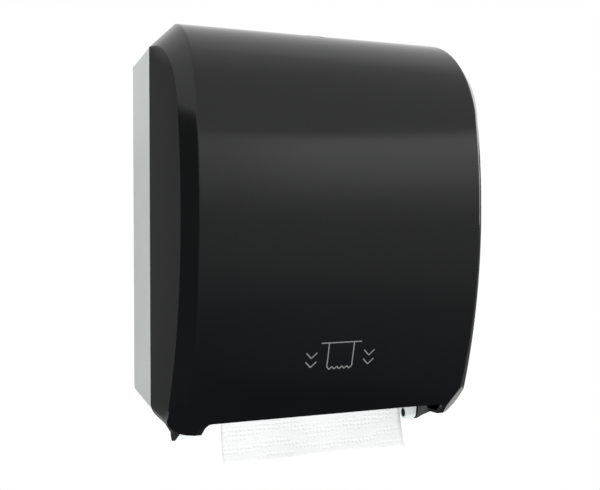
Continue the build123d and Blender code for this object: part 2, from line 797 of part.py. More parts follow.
# Knife: holder on its pivot, toothed blade, pivot pins and cam follower
knife_plane = Plane(
    origin=slot_plane.from_local_coords(Vector(knife_pivot_out, knife_pivot_aside, 0)),
    x_dir=slot_plane.x_dir * cos(radians(knife_tilt)) - slot_plane.y_dir * sin(radians(knife_tilt)),
    z_dir=(1, 0, 0),
)
holder_right = drum_end - drum_cap - knife_end_gap
holder_left = holder_right - knife_spring_length - knife_end_gap
with BuildPart() as knife_holder:
    with BuildSketch(knife_plane.offset(-holder_left)):
        Circle(knife_boss_radius)
        with Locations((knife_bar / 2, (knife_bar_high - knife_bar_low) / 2)):
            Rectangle(knife_bar, knife_bar_high + knife_bar_low)
        Circle(knife_pin_radius + fixed_gap, mode=Mode.SUBTRACT)
    extrude(amount=holder_left + holder_right)
save(knife_holder.part, "knife_holder")

blade_half = towel_width / 2
tooth_pitch = towel_width / blade_teeth
blade_plane = Plane(
    origin=knife_plane.from_local_coords(Vector(0, knife_bar_high, 0)),
    x_dir=(1, 0, 0),
    z_dir=knife_plane.y_dir,
)
tooth_points = [(blade_half, knife_reach - tooth_depth)]
for i in range(blade_teeth):
    tooth_points.append((blade_half - (i + 0.5) * tooth_pitch, knife_reach))
    tooth_points.append((blade_half - (i + 1) * tooth_pitch, knife_reach - tooth_depth))
with BuildPart() as knife_blade:
    with BuildSketch(blade_plane):
        with BuildLine():
            Polyline((-blade_half, blade_start), (blade_half, blade_start), *tooth_points, close=True)
        make_face()
    extrude(amount=blade_thickness)
save(knife_blade.part, "knife_blade")

arm_start = drum_end + follower_gap
arm_end = arm_start + follower_arm
with BuildPart() as knife_pins:
    for side, holder_end, pin_end in ((-1, holder_left, drum_end), (1, holder_right, arm_end)):
        with BuildSketch(knife_plane.offset(side * (holder_end - knife_pin_grip))):
            Circle(knife_pin_radius)
        extrude(amount=side * (pin_end - holder_end + knife_pin_grip))
save(knife_pins.part, "knife_pins")

coil_inner = knife_pin_radius + knife_spring_gap
with BuildPart() as knife_spring:
    with BuildSketch(knife_plane.offset(-holder_left - knife_end_gap / 2)):
        Circle(coil_inner + knife_spring_wire)
        Circle(coil_inner, mode=Mode.SUBTRACT)
    extrude(amount=-knife_spring_length)
save(knife_spring.part, "knife_spring")

follower_place = (knife_pivot_out + follower_reach_out, knife_pivot_aside + follower_reach_aside)
follower_middle = (
    (knife_pivot_out + follower_place[0]) / 2,
    (knife_pivot_aside + follower_place[1]) / 2,
)
follower_turn = degrees(atan2(follower_reach_aside, follower_reach_out))
cam_start = arm_end + cam_gap
with BuildPart() as cam_follower:
    with BuildSketch(slot_plane.offset(arm_start)):
        with Locations(follower_middle):
            SlotCenterToCenter(hypot(follower_reach_out, follower_reach_aside), 2 * follower_radius,
                               rotation=follower_turn)
        with Locations(knife_pivot):
            Circle(knife_pin_radius + fixed_gap, mode=Mode.SUBTRACT)
    extrude(amount=follower_arm)
    with BuildSketch(slot_plane.offset(arm_end)):
        with Locations(follower_place):
            Circle(follower_radius)
    extrude(amount=frame_inner - arm_end - cam_gap)
save(cam_follower.part, "cam_follower")

cam_radius = hypot(*follower_place) - follower_radius - cam_lobe_rise - cam_lobe_gap
with BuildPart() as knife_cam:
    with BuildSketch(side_plane(cam_start)):
        with Locations((drum_y, drum_z)):
            Circle(cam_radius)
        with Locations((drum_y, drum_z - cam_radius - cam_lobe_rise + cam_lobe_radius)):
            Circle(cam_lobe_radius)
        with Locations((drum_y, drum_z)):
            Circle(cam_bore, mode=Mode.SUBTRACT)
    extrude(amount=frame_inner - cam_start)
save(knife_cam.part, "knife_cam")

# Pinch roller: shaft, rubber sleeves, sliding blocks and their springs
block_outer = frame_outer + block_lap
with BuildPart() as pinch_shaft:
    shaft_end = block_outer + pinch_shaft_end
    add(disc(-shaft_end, 2 * shaft_end, pinch_shaft_radius, pinch_place))
save(pinch_shaft.part, "pinch_shaft")

sleeve_pitch = pinch_sleeve + pinch_sleeve_gap
with BuildPart() as pinch_sleeves:
    for i in range(pinch_sleeves_across):
        sleeve_x = (i - (pinch_sleeves_across - 1) / 2) * sleeve_pitch - pinch_sleeve / 2
        add(disc(sleeve_x, pinch_sleeve, pinch_radius, pinch_place, pinch_shaft_radius + fixed_gap))
save(pinch_sleeves.part, "pinch_sleeves")

spring_seat = on_drum(pinch_angle, pinch_reach + block_half)
pinch_out = (0, -cos(radians(pinch_angle)), sin(radians(pinch_angle)))
for side, word in sides:
    with BuildPart() as pinch_block:
        with BuildSketch(side_plane(side * (frame_inner - block_lap))):
            with Locations(pinch_place):
                Rectangle(block_size, block_size, rotation=-pinch_angle)
                Circle(pinch_shaft_radius + running_gap, mode=Mode.SUBTRACT)
        extrude(amount=side * (frame_thickness + 2 * block_lap))
    save(pinch_block.part, f"pinch_block_{word}")

    with BuildPart() as pinch_spring:
        spring_middle_x = side * (frame_inner + frame_thickness / 2)
        with BuildSketch(Plane(origin=(spring_middle_x, *spring_seat), z_dir=pinch_out)):
            Circle(pinch_spring_radius)
            Circle(pinch_spring_bore, mode=Mode.SUBTRACT)
        extrude(amount=pinch_spring_length + block_gap)
    save(pinch_spring.part, f"pinch_spring_{word}")

# Paper guides between the side frames
front_guide_y = drum_y - sheet_outer - front_guide_gap
with BuildPart() as front_guide:
    with BuildSketch(side_plane(-frame_inner)):
        front_guide_middle = base_z + (front_guide_low + front_guide_high) / 2
        with Locations((front_guide_y - guide_thickness / 2, front_guide_middle)):
            Rectangle(guide_thickness, front_guide_high - front_guide_low)
        for height in (front_guide_low, front_guide_high):
            with Locations((front_guide_y - guide_roll_radius, base_z + height)):
                Circle(guide_roll_radius)
    extrude(amount=2 * frame_inner)
save(front_guide.part, "front_guide")

rear_guide_y = drum_y - sheet_inner + rear_guide_gap
with BuildPart() as rear_guide:
    with BuildSketch(side_plane(-frame_inner)):
        with BuildLine():
            Polyline(
                (rear_guide_y, base_z + rear_guide_low),
                (rear_guide_y, base_z + rear_guide_high),
                (boss_y, base_z + rear_guide_high),
                (boss_y, base_z + rear_guide_high - guide_thickness),
                (rear_guide_y + guide_thickness, base_z + rear_guide_high - guide_thickness),
                (rear_guide_y + guide_thickness, base_z + rear_guide_low),
                close=True,
            )
        make_face()
    extrude(amount=2 * frame_inner)
save(rear_guide.part, "rear_guide")

# Towel from the roll over the drum and down through the outlet
web_reach = hypot(roll_y - drum_y, roll_z - drum_z)
web_offset = roll_radius + sheet_gap + sheet_thickness + sheet_inner
web_angle = degrees(atan2(roll_z - drum_z, drum_y - roll_y) - acos(web_offset / web_reach))
web_length = sqrt(web_reach ** 2 - web_offset ** 2)
web_run = (sin(radians(web_angle)) * web_length, cos(radians(web_angle)) * web_length)
curl_z = base_z - tail_drop + curl_length
curl_turn = degrees(asin(curl_length / curl_radius))
with BuildPart() as towel_sheet:
    with BuildSketch(side_plane(-towel_width / 2)):
        with BuildLine():
            outer_start = (drum_y - sheet_outer, curl_z)
            inner_start = (drum_y - sheet_inner, curl_z)
            outer_curl = JernArc(outer_start, (0, -1), curl_radius - sheet_thickness, -curl_turn)
            inner_curl = JernArc(inner_start, (0, -1), curl_radius, -curl_turn)
            Line(outer_curl @ 1, inner_curl @ 1)
            Line(outer_curl @ 0, on_drum(0, sheet_outer))
            Line(inner_curl @ 0, on_drum(0, sheet_inner))
            ThreePointArc(*(on_drum(web_angle * part, sheet_outer) for part in (0, 0.5, 1)))
            ThreePointArc(*(on_drum(web_angle * part, sheet_inner) for part in (0, 0.5, 1)))
            web_start = [on_drum(web_angle, radius) for radius in (sheet_inner, sheet_outer)]
            Polyline(
                web_start[0],
                (web_start[0][0] + web_run[0], web_start[0][1] + web_run[1]),
                (web_start[1][0] + web_run[0], web_start[1][1] + web_run[1]),
                web_start[1],
            )
        make_face()
    extrude(amount=towel_width)
save(towel_sheet.part, "towel_sheet")

# Lock: body in the crown, turning plug, tongue, nut and the keeper on the housing
with BuildPart() as lock_body:
    with BuildSketch(lock_plane.offset(-lock_body_length)):
        Circle(lock_radius)
    extrude(amount=lock_body_length - lock_recess)
    with BuildSketch(lock_plane.offset(-cover_wall - lock_flange_gap)):
        Circle(lock_flange_radius)
    extrude(amount=-lock_flange)
    with BuildSketch(lock_plane.offset(-lock_body_length)):
        Circle(lock_plug_radius + running_gap)
    extrude(amount=lock_body_length, mode=Mode.SUBTRACT)
save(lock_body.part, "lock_body")

tongue_top = -lock_body_length - tongue_gap
tongue_low = tongue_top - tongue_thickness
with BuildPart() as lock_plug:
    with BuildSketch(lock_plane.offset(tongue_top)):
        Circle(lock_plug_radius)
    extrude(amount=-lock_recess - tongue_top)
    with BuildSketch(lock_plane.offset(tongue_low - lock_nut)):
        Circle(lock_stem_radius)
    extrude(amount=tongue_thickness + lock_nut)
    with BuildSketch(lock_plane.offset(-lock_recess)):
        Rectangle(key_slot_width, key_slot_length)
    extrude(amount=-key_slot_depth, mode=Mode.SUBTRACT)
save(lock_plug.part, "lock_plug")

with BuildPart() as lock_tongue:
    with BuildSketch(lock_plane.offset(tongue_low)):
        Circle(tongue_width / 2 + lock_stem_radius)
        with Locations((0, tongue_length / 2)):
            Rectangle(tongue_width, tongue_length)
        Circle(lock_stem_radius + fixed_gap, mode=Mode.SUBTRACT)
    extrude(amount=tongue_thickness)
save(lock_tongue.part, "lock_tongue")

with BuildPart() as lock_nut_piece:
    with BuildSketch(lock_plane.offset(tongue_low - lock_nut)):
        RegularPolygon(lock_nut_radius, 6)
        Circle(lock_stem_radius + fixed_gap, mode=Mode.SUBTRACT)
    extrude(amount=lock_nut)
save(lock_nut_piece.part, "lock_nut")

locked_front = lock_plane.from_local_coords(Vector(0, -tongue_width / 2 - lock_stem_radius, tongue_low)).Y
post_back = locked_front - keeper_gap
post_front = post_back - keeper_strip
crown_inside = sqrt((crown_radius - cover_wall) ** 2 - (crown_middle_y - post_front) ** 2)
strip_top = crown_z - crown_radius + crown_inside - keeper_head
strip_low = strip_top - keeper_strip
keeper_back = keeper_y + keeper_foot / 2
with BuildPart() as lock_keeper:
    with BuildSketch(side_plane(keeper_offset)):
        with BuildLine():
            Polyline(
                (post_back, strip_top - keeper_post),
                (post_back, strip_low),
                (keeper_back, strip_low),
                (keeper_back, housing_top),
                (keeper_y - keeper_foot / 2, housing_top),
                (keeper_y - keeper_foot / 2, strip_top),
                (post_front, strip_top),
                (post_front, strip_top - keeper_post),
                close=True,
            )
        make_face()
    extrude(amount=keeper_width)
    with BuildSketch(Plane.XY.offset(strip_low)):
        with Locations(*keeper_screw_places):
            Circle(screw_radius + running_gap)
    extrude(amount=case_height, mode=Mode.SUBTRACT)
save(lock_keeper.part, "lock_keeper")

with BuildPart() as keeper_screws:
    with BuildSketch(Plane.XY.offset(strip_low)):
        with Locations(*keeper_screw_places):
            Circle(screw_radius)
    extrude(amount=housing_top - strip_low + keeper_bite)
    with BuildSketch(Plane.XY.offset(strip_low - screw_head_height)):
        with Locations(*keeper_screw_places):
            Circle(screw_head_radius)
    extrude(amount=screw_head_height)
save(keeper_screws.part, "keeper_screws")
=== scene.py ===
"""Looks of a roll towel dispenser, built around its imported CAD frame.

The frame is in metres: X runs to the right along the wall, Y points into the wall and Z up. The
origin is the middle of the wall screws, on the back of the housing. The CAD nodes keep their places
and get their finishes here; the cover, the towel, the roll, the springs and the screws are modelled
again in more detail and stand for their nodes.
"""

import json
import logging
from dataclasses import dataclass
from enum import Enum
from math import acos, asin, atan2, cos, degrees, hypot, pi, radians, sin, sqrt, tan
from typing import Callable, ClassVar, Sequence

import bmesh
import bpy
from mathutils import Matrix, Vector

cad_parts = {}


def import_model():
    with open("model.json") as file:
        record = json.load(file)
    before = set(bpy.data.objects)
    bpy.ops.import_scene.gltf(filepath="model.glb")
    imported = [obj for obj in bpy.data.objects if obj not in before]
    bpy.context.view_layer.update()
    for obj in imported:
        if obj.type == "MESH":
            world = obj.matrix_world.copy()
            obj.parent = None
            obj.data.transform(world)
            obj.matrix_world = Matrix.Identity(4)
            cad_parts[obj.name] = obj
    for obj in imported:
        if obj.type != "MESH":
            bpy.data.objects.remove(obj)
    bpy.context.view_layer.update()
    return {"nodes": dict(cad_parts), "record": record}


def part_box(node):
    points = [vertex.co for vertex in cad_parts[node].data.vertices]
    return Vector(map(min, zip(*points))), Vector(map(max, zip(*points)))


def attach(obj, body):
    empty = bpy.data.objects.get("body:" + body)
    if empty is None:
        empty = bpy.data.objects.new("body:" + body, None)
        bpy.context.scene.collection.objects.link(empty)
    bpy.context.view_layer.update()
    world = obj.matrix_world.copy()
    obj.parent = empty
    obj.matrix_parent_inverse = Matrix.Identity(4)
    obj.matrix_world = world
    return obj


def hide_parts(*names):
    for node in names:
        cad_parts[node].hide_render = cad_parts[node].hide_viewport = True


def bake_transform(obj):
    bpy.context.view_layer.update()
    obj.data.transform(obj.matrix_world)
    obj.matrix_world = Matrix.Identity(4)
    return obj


LOG = logging.getLogger("dispenser")
BASE = -0.190                  # lower edge of the housing, below the wall screws
SEAM = -0.103                  # plane between housing and cover
WALL = 0.0028                  # thickness of the cover
ROLL_AXIS = (-0.1011, 0.078)   # axis of the towel roll, as (y, z)
SIDES = (-1, 1)                # left and right
SIDE_WORDS = ("left", "right")

Point2 = tuple[float, float]
Point3 = tuple[float, float, float]
Node = bpy.types.ShaderNode
Tree = bpy.types.NodeTree
Socket = bpy.types.NodeSocket
Piece = bpy.types.Object


class Cut(Enum):
    """How one solid changes another."""

    REMOVE = "DIFFERENCE"
    JOIN = "UNION"
    KEEP_COMMON = "INTERSECT"


class View(Enum):
    """Plane in which a flat outline is drawn before it is drawn out to a solid."""

    SIDE = "side"              # outline in Y and Z, drawn out along X
    FRONT = "front"            # outline in X and Z, drawn out along Y
    PLAN = "plan"              # outline in X and Y, drawn out along Z


# Mesh helpers


def new_piece(name: str, points: Sequence[Vector], faces: Sequence[Sequence[int]]) -> Piece:
    """Make a mesh object with outward normals.

    Args:
        name: Name of the piece.
        points: Corners, in metres.
        faces: Corner numbers of each face.

    Returns:
        The new object, linked to the scene.
    """
    mesh = bpy.data.meshes.new(name)
    mesh.from_pydata([tuple(point) for point in points], [], [tuple(face) for face in faces])
    work = bmesh.new()
    work.from_mesh(mesh)
    bmesh.ops.recalc_face_normals(work, faces=work.faces)
    work.to_mesh(mesh)
    work.free()
    piece = bpy.data.objects.new(name, mesh)
    bpy.context.scene.collection.objects.link(piece)
    return piece


def grid_faces(rows: int, columns: int, first: int = 0, closed: bool = False,
               looped: bool = False) -> list[list[int]]:
    """Faces of a grid of points that are numbered row by row.

    Args:
        rows: Number of rows.
        columns: Points in each row.
        first: Number of the grid's first point.
        closed: Whether each row's last point joins its first.
        looped: Whether the last row joins the first.

    Returns:
        Corner numbers of each face.
    """
    faces = []
    for i in range(rows if looped else rows - 1):
        here, ahead = first + i * columns, first + (i + 1) % rows * columns
        for j in range(columns if closed else columns - 1):
            k = (j + 1) % columns
            faces.append([here + j, here + k, ahead + k, ahead + j])
    return faces


def ring(middle: Vector, across: Vector, third: Vector, radius: float, sides: int) -> list[Vector]:
    """Points of a circle in the plane of two directions that are square to each other."""
    turns = [2 * pi * k / sides for k in range(sides)]
    return [middle + radius * (cos(turn) * across + sin(turn) * third) for turn in turns]


def smooth(piece: Piece, sharp_degrees: float = 30.0) -> Piece:
    """Shade a piece smooth, with sharp edges above an angle and weighted normals.

    Args:
        piece: Piece to shade.
        sharp_degrees: Angle above which an edge stays sharp.

    Returns:
        The piece.
    """
    piece.data.shade_smooth()
    piece.data.set_sharp_from_angle(angle=radians(sharp_degrees))
    weighted = piece.modifiers.new("weighted_normals", "WEIGHTED_NORMAL")
    weighted.keep_sharp = True
    return piece


def carve(piece: Piece, tool: Piece, cut: Cut) -> Piece:
    """Change one solid by another, which is used up.

    Args:
        piece: Closed solid to change.
        tool: Closed solid that changes it.
        cut: What the tool does.

    Returns:
        The changed piece.
    """
    modifier = piece.modifiers.new("carve", "BOOLEAN")
    modifier.operation = cut.value
    modifier.solver = "EXACT"
    modifier.object = tool
    bpy.context.view_layer.update()
    evaluated = piece.evaluated_get(bpy.context.evaluated_depsgraph_get())
    mesh = bpy.data.meshes.new_from_object(evaluated)
    piece.modifiers.clear()
    piece.data = mesh
    bpy.data.objects.remove(tool)
    return piece


def prism(name: str, outline: Sequence[Point2], view: View, start: float, end: float) -> Piece:
    """Draw a flat closed outline out to a solid.

    Args:
        name: Name of the solid.
        outline: Corners in the plane of the view.
        view: Plane of the outline.
        start: Where the solid starts, along the third axis.
        end: Where it ends.

    Returns:
        The solid.
    """
    place: dict[View, Callable[[Point2, float], Vector]] = {
        View.SIDE: lambda p, t: Vector((t, p[0], p[1])),
        View.FRONT: lambda p, t: Vector((p[0], t, p[1])),
        View.PLAN: lambda p, t: Vector((p[0], p[1], t)),
    }
    count = len(outline)
    points = [place[view](p, t) for t in (start, end) for p in outline]
    faces = [[i, (i + 1) % count, count + (i + 1) % count, count + i] for i in range(count)]
    faces += [list(range(count)), list(range(count, 2 * count))]
    return new_piece(name, points, faces)


def arc(middle: Point2, radius: float, start: float, end: float, steps: int) -> list[Point2]:
    """Points on an arc, with angles in degrees from the outline's first axis."""
    turn = [radians(start + (end - start) * i / steps) for i in range(steps + 1)]
    return [(middle[0] + radius * cos(a), middle[1] + radius * sin(a)) for a in turn]


def circle(middle: Point2, radius: float, sides: int) -> list[Point2]:
    """Points around a full circle."""
    return arc(middle, radius, 0, 360 - 360 / sides, sides - 1)


def lathe(name: str, profile: Sequence[Point2], axis: Point2, segments: int = 96) -> Piece:
    """Turn a closed profile about an axis along X.

    Args:
        name: Name of the piece.
        profile: Closed outline as (x, radius).
        axis: Place of the axis as (y, z).
        segments: Faces around the axis.

    Returns:
        The turned piece.
    """
    points = []
    for k in range(segments):
        turn = 2 * pi * k / segments
        points += [Vector((x, axis[0] + r * cos(turn), axis[1] + r * sin(turn))) for x, r in profile]
    return new_piece(name, points, grid_faces(segments, len(profile), closed=True, looped=True))


def tube(name: str, line: Sequence[Vector], radius: float, sides: int = 12) -> Piece:
    """Round wire along a line, with closed ends.

    Args:
        name: Name of the piece.
        line: Middle of the wire.
        radius: Radius of the wire.
        sides: Faces around the wire.

    Returns:
        The wire.
    """
    nearly_along = 0.95
    points: list[Vector] = []
    across = Vector((0, 0, 1))
    for i, place in enumerate(line):
        along = (line[min(i + 1, len(line) - 1)] - line[max(i - 1, 0)]).normalized()
        if abs(along.dot(across)) > nearly_along:
            across = along.orthogonal()
        across = (across - along * along.dot(across)).normalized()
        points += ring(place, across, along.cross(across), radius, sides)
    faces = grid_faces(len(line), sides, closed=True)
    last = (len(line) - 1) * sides
    faces += [list(range(sides)), list(range(last, last + sides))]
    return new_piece(name, points, faces)


def coil(start: Vector, along: Vector, length: float, radius: float, turns: float,
         steps: int = 24) -> list[Vector]:
    """Points of a helix.

    Args:
        start: Middle of the helix at its start.
        along: Direction of its axis.
        length: Length of the helix.
        radius: Radius to the middle of the wire.
        turns: Number of turns.
        steps: Points in each turn.

    Returns:
        The points, in order.
    """
    nearly_along = 0.9
    along = along.normalized()
    first = Vector((1, 0, 0)) if abs(along.x) < nearly_along else Vector((0, 0, 1))
    first = (first - along * along.dot(first)).normalized()
    second = along.cross(first)
    count = int(turns * steps)
    line = []
    for i in range(count + 1):
        turn = 2 * pi * turns * i / count
        middle = start + along * (length * i / count)
        line.append(middle + radius * (cos(turn) * first + sin(turn) * second))
    return line


def round_corner(before: Vector, corner: Vector, after: Vector, radius: float, steps: int) -> list[Vector]:
    """Points of an arc that rounds one corner of a line.

    Args:
        before: Point before the corner.
        corner: The corner.
        after: Point after the corner.
        radius: Radius of the arc.
        steps: Number of stretches along the arc.

    Returns:
        The arc's points, from the first tangent point to the last.
    """
    least = 0.0003                 # shortest way from the corner to the arc
    most = 0.4                     # longest, as a share of the shorter side
    back, ahead = before - corner, after - corner
    half = back.angle(ahead) / 2
    reach = min(max(radius / tan(half), least), most * min(back.length, ahead.length))
    first = corner + back.normalized() * reach
    last = corner + ahead.normalized() * reach
    pull = sin(half)
    points = []
    for i in range(steps + 1):
        s = i / steps
        weights = ((1 - s) ** 2, 2 * s * (1 - s) * pull, s ** 2)
        points.append((first * weights[0] + corner * weights[1] + last * weights[2]) / sum(weights))
    return points


def between(a: Vector, b: Vector, steps: int) -> list[Vector]:
    """Evenly spaced points from a towards b, without b."""
    return [a.lerp(b, i / steps) for i in range(steps)]


# Shader node helpers


def add_node(tree: Tree, kind: str, **inputs: object) -> Node:
    """Add a node and set its inputs.

    Args:
        tree: Node tree of a material, a world or a group.
        kind: Type of the node.
        **inputs: Values of its sockets by name, with underscores for spaces. A socket of another
            node is linked.

    Returns:
        The new node.
    """
    node = tree.nodes.new(kind)
    for name, value in inputs.items():
        connect(tree, value, node.inputs[name.replace("_", " ")])
    return node


def connect(tree: Tree, value: object, socket: Socket) -> None:
    """Link a socket to another, or set its plain value.

    Args:
        tree: Node tree that holds it.
        value: Socket of another node, or a plain value.
        socket: Socket that takes it.
    """
    if isinstance(value, Socket):
        tree.links.new(value, socket)
    else:
        socket.default_value = value


def add_math(tree: Tree, operation: str, *values: object) -> Socket:
    """Add a maths node.

    Args:
        tree: Node tree of a material, a world or a group.
        operation: What it does.
        *values: Numbers, or sockets of other nodes, in order.

    Returns:
        Socket of the result.
    """
    node = tree.nodes.new("ShaderNodeMath")
    node.operation = operation
    for value, socket in zip(values, node.inputs):
        connect(tree, value, socket)
    return node.outputs["Value"]


class Groups:
    """Shader effects that several finishes share, each built once."""

    made: ClassVar[dict[str, Tree]] = {}

    @classmethod
    def start(cls, name: str, inputs: dict[str, float], outputs: Sequence[str]) -> tuple[Tree, Node, Node]:
        """Open a new group with number sockets.

        Args:
            name: Name of the group.
            inputs: Default value of each input by name.
            outputs: Names of the outputs.

        Returns:
            The group, its input node and its output node.
        """
        tree = bpy.data.node_groups.new(name, "ShaderNodeTree")
        for label, value in inputs.items():
            socket = tree.interface.new_socket(label, in_out="INPUT", socket_type="NodeSocketFloat")
            socket.default_value = value
        for label in outputs:
            tree.interface.new_socket(label, in_out="OUTPUT", socket_type="NodeSocketFloat")
        cls.made[name] = tree
        return tree, tree.nodes.new("NodeGroupInput"), tree.nodes.new("NodeGroupOutput")

    @classmethod
    def grain(cls) -> Tree:
        """Fine moulded or fibrous grain: height, and a slow mottle.

        Returns:
            The group.
        """
        if "grain" not in cls.made:
            tree, given, out = cls.start("grain", {"Size": 0.001, "Stretch": 1.0}, ("Height", "Mottle"))
            place = add_node(tree, "ShaderNodeTexCoord").outputs["Object"]
            scale = add_math(tree, "DIVIDE", 1.0, given.outputs["Size"])
            stretch = add_node(tree, "ShaderNodeCombineXYZ", X=given.outputs["Stretch"], Y=1.0, Z=1.0)
            drawn = add_node(tree, "ShaderNodeVectorMath")
            drawn.operation = "MULTIPLY"
            tree.links.new(place, drawn.inputs[0])
            tree.links.new(stretch.outputs["Vector"], drawn.inputs[1])
            fine = add_node(tree, "ShaderNodeTexNoise", Vector=drawn.outputs["Vector"],
                            Scale=scale, Detail=3.0, Roughness=0.6)
            slow = add_node(tree, "ShaderNodeTexNoise", Vector=place, Scale=14.0, Detail=4.0,
                            Roughness=0.55)
            tree.links.new(fine.outputs["Fac"], out.inputs["Height"])
            tree.links.new(slow.outputs["Fac"], out.inputs["Mottle"])
        return cls.made["grain"]

    @classmethod
    def handling(cls) -> Tree:
        """Faint wiping marks and dust from use, as one mask.

        Returns:
            The group.
        """
        if "handling" not in cls.made:
            tree, given, out = cls.start("handling", {"Amount": 0.5}, ("Mask",))
            place = add_node(tree, "ShaderNodeTexCoord").outputs["Object"]
            turned = add_node(tree, "ShaderNodeMapping", Vector=place, Rotation=(0.4, 0.2, 0.9),
                              Scale=(9.0, 9.0, 60.0))
            wipes = add_node(tree, "ShaderNodeTexNoise", Vector=turned.outputs["Vector"], Scale=2.2,
                             Detail=5.0, Roughness=0.6, Distortion=0.4)
            patches = add_node(tree, "ShaderNodeTexNoise", Vector=place, Scale=26.0, Detail=3.0)
            both = add_math(tree, "MULTIPLY", wipes.outputs["Fac"], patches.outputs["Fac"])
            spread = add_node(tree, "ShaderNodeMapRange", Value=both, From_Min=0.12, From_Max=0.42,
                              To_Max=given.outputs["Amount"])
            tree.links.new(spread.outputs["Result"], out.inputs["Mask"])
        return cls.made["handling"]

    @staticmethod
    def place(tree: Tree, group: Tree, **inputs: float) -> Node:
        """Put a group into a material with its own values.

        Args:
            tree: Node tree of the material.
            group: Group to place.
            **inputs: Values of its inputs by name.

        Returns:
            The placed group.
        """
        node = tree.nodes.new("ShaderNodeGroup")
        node.node_tree = group
        for name, value in inputs.items():
            node.inputs[name].default_value = value
        return node


# Finishes


@dataclass(frozen=True)
class Finish:
    """Finish of a surface: a colour that drifts a little, a roughness and a grain.

    Colours are linear, sizes in metres.
    """

    name: str
    colour: Point3
    drift: Point3                              # colour that the mottle drifts to
    roughness: float
    roughness_worn: float                      # roughness where the surface is wiped or dusty
    grain: float = 0.0012                      # size of the grain
    stretch: float = 1.0                       # grain frequency along X, compared with Y and Z
    depth: float = 0.00002                     # height of the grain
    handled: float = 0.6                       # how much of the handling mask shows
    metallic: float = 0.0
    specular: float = 0.5
    sheen: float = 0.0
    edge: float = 0.0                          # radius of softened edges

    def relief(self, tree: Tree, grain: Node) -> Socket:
        """Height of the surface's relief, from the grain."""
        return grain.outputs["Height"]

    def tint(self, tree: Tree, grain: Node, mask: Node) -> Socket:
        """Colour over the surface.

        Args:
            tree: Node tree of the material.
            grain: Placed grain group.
            mask: Placed handling group, not used.

        Returns:
            Colour socket.
        """
        return self.mix(tree, grain.outputs["Mottle"], self.colour, self.drift)

    @staticmethod
    def mix(tree: Tree, factor: Socket, first: object, last: object) -> Socket:
        """Blend two colours, plain or linked, by a factor.

        Args:
            tree: Node tree of the material.
            factor: Socket of the factor.
            first: Colour where it is zero.
            last: Colour where it is one.

        Returns:
            Colour socket.
        """
        first_input, last_input, result = 6, 7, 2      # colour sockets of the mix node
        blend = tree.nodes.new("ShaderNodeMix")
        blend.data_type = "RGBA"
        tree.links.new(factor, blend.inputs["Factor"])
        for value, number in ((first, first_input), (last, last_input)):
            connect(tree, (*value, 1.0) if isinstance(value, tuple) else value, blend.inputs[number])
        return blend.outputs[result]

    def material(self) -> bpy.types.Material:
        """The Blender material of this finish, built once.

        Returns:
            The material.
        """
        if self.name in bpy.data.materials:
            return bpy.data.materials[self.name]
        material = bpy.data.materials.new(self.name)
        material.use_nodes = True
        tree = material.node_tree
        shader = tree.nodes["Principled BSDF"]
        shader.inputs["Metallic"].default_value = self.metallic
        shader.inputs["Specular IOR Level"].default_value = self.specular
        shader.inputs["Sheen Weight"].default_value = self.sheen
        grain = Groups.place(tree, Groups.grain(), Size=self.grain, Stretch=self.stretch)
        mask = Groups.place(tree, Groups.handling(), Amount=self.handled)
        tree.links.new(self.tint(tree, grain, mask), shader.inputs["Base Color"])
        rough = add_node(tree, "ShaderNodeMapRange", Value=mask.outputs["Mask"], To_Min=self.roughness,
                         To_Max=self.roughness_worn)
        tree.links.new(rough.outputs["Result"], shader.inputs["Roughness"])
        bump = add_node(tree, "ShaderNodeBump", Height=self.relief(tree, grain), Distance=self.depth)
        if self.edge:
            soft = add_node(tree, "ShaderNodeBevel", Radius=self.edge)
            soft.samples = 4
            tree.links.new(soft.outputs["Normal"], bump.inputs["Normal"])
        tree.links.new(bump.outputs["Normal"], shader.inputs["Normal"])
        return material


@dataclass(frozen=True)
class EmbossedPaper(Finish):
    """Towel paper: soft fibre with rows of small pressed dimples."""

    dimple: float = 0.0042                     # distance from one dimple to the next
    scatter: float = 0.25                      # how far the dimples leave their rows
    hollow: float = 0.45                       # reach of a dimple, as a share of that distance
    fibre: float = 0.5                         # share of the grain in the relief

    def relief(self, tree: Tree, grain: Node) -> Socket:
        """Dimples with the fibre's grain on top.

        Args:
            tree: Node tree of the material.
            grain: Placed grain group.

        Returns:
            Height socket.
        """
        place = add_node(tree, "ShaderNodeTexCoord").outputs["Object"]
        cells = add_node(tree, "ShaderNodeTexVoronoi", Vector=place, Scale=1.0 / self.dimple,
                         Randomness=self.scatter)
        hollow = add_node(tree, "ShaderNodeMapRange", Value=cells.outputs["Distance"],
                          From_Max=self.hollow)
        height, dimples = grain.outputs["Height"], hollow.outputs["Result"]
        return add_math(tree, "MULTIPLY_ADD", height, self.fibre, dimples)


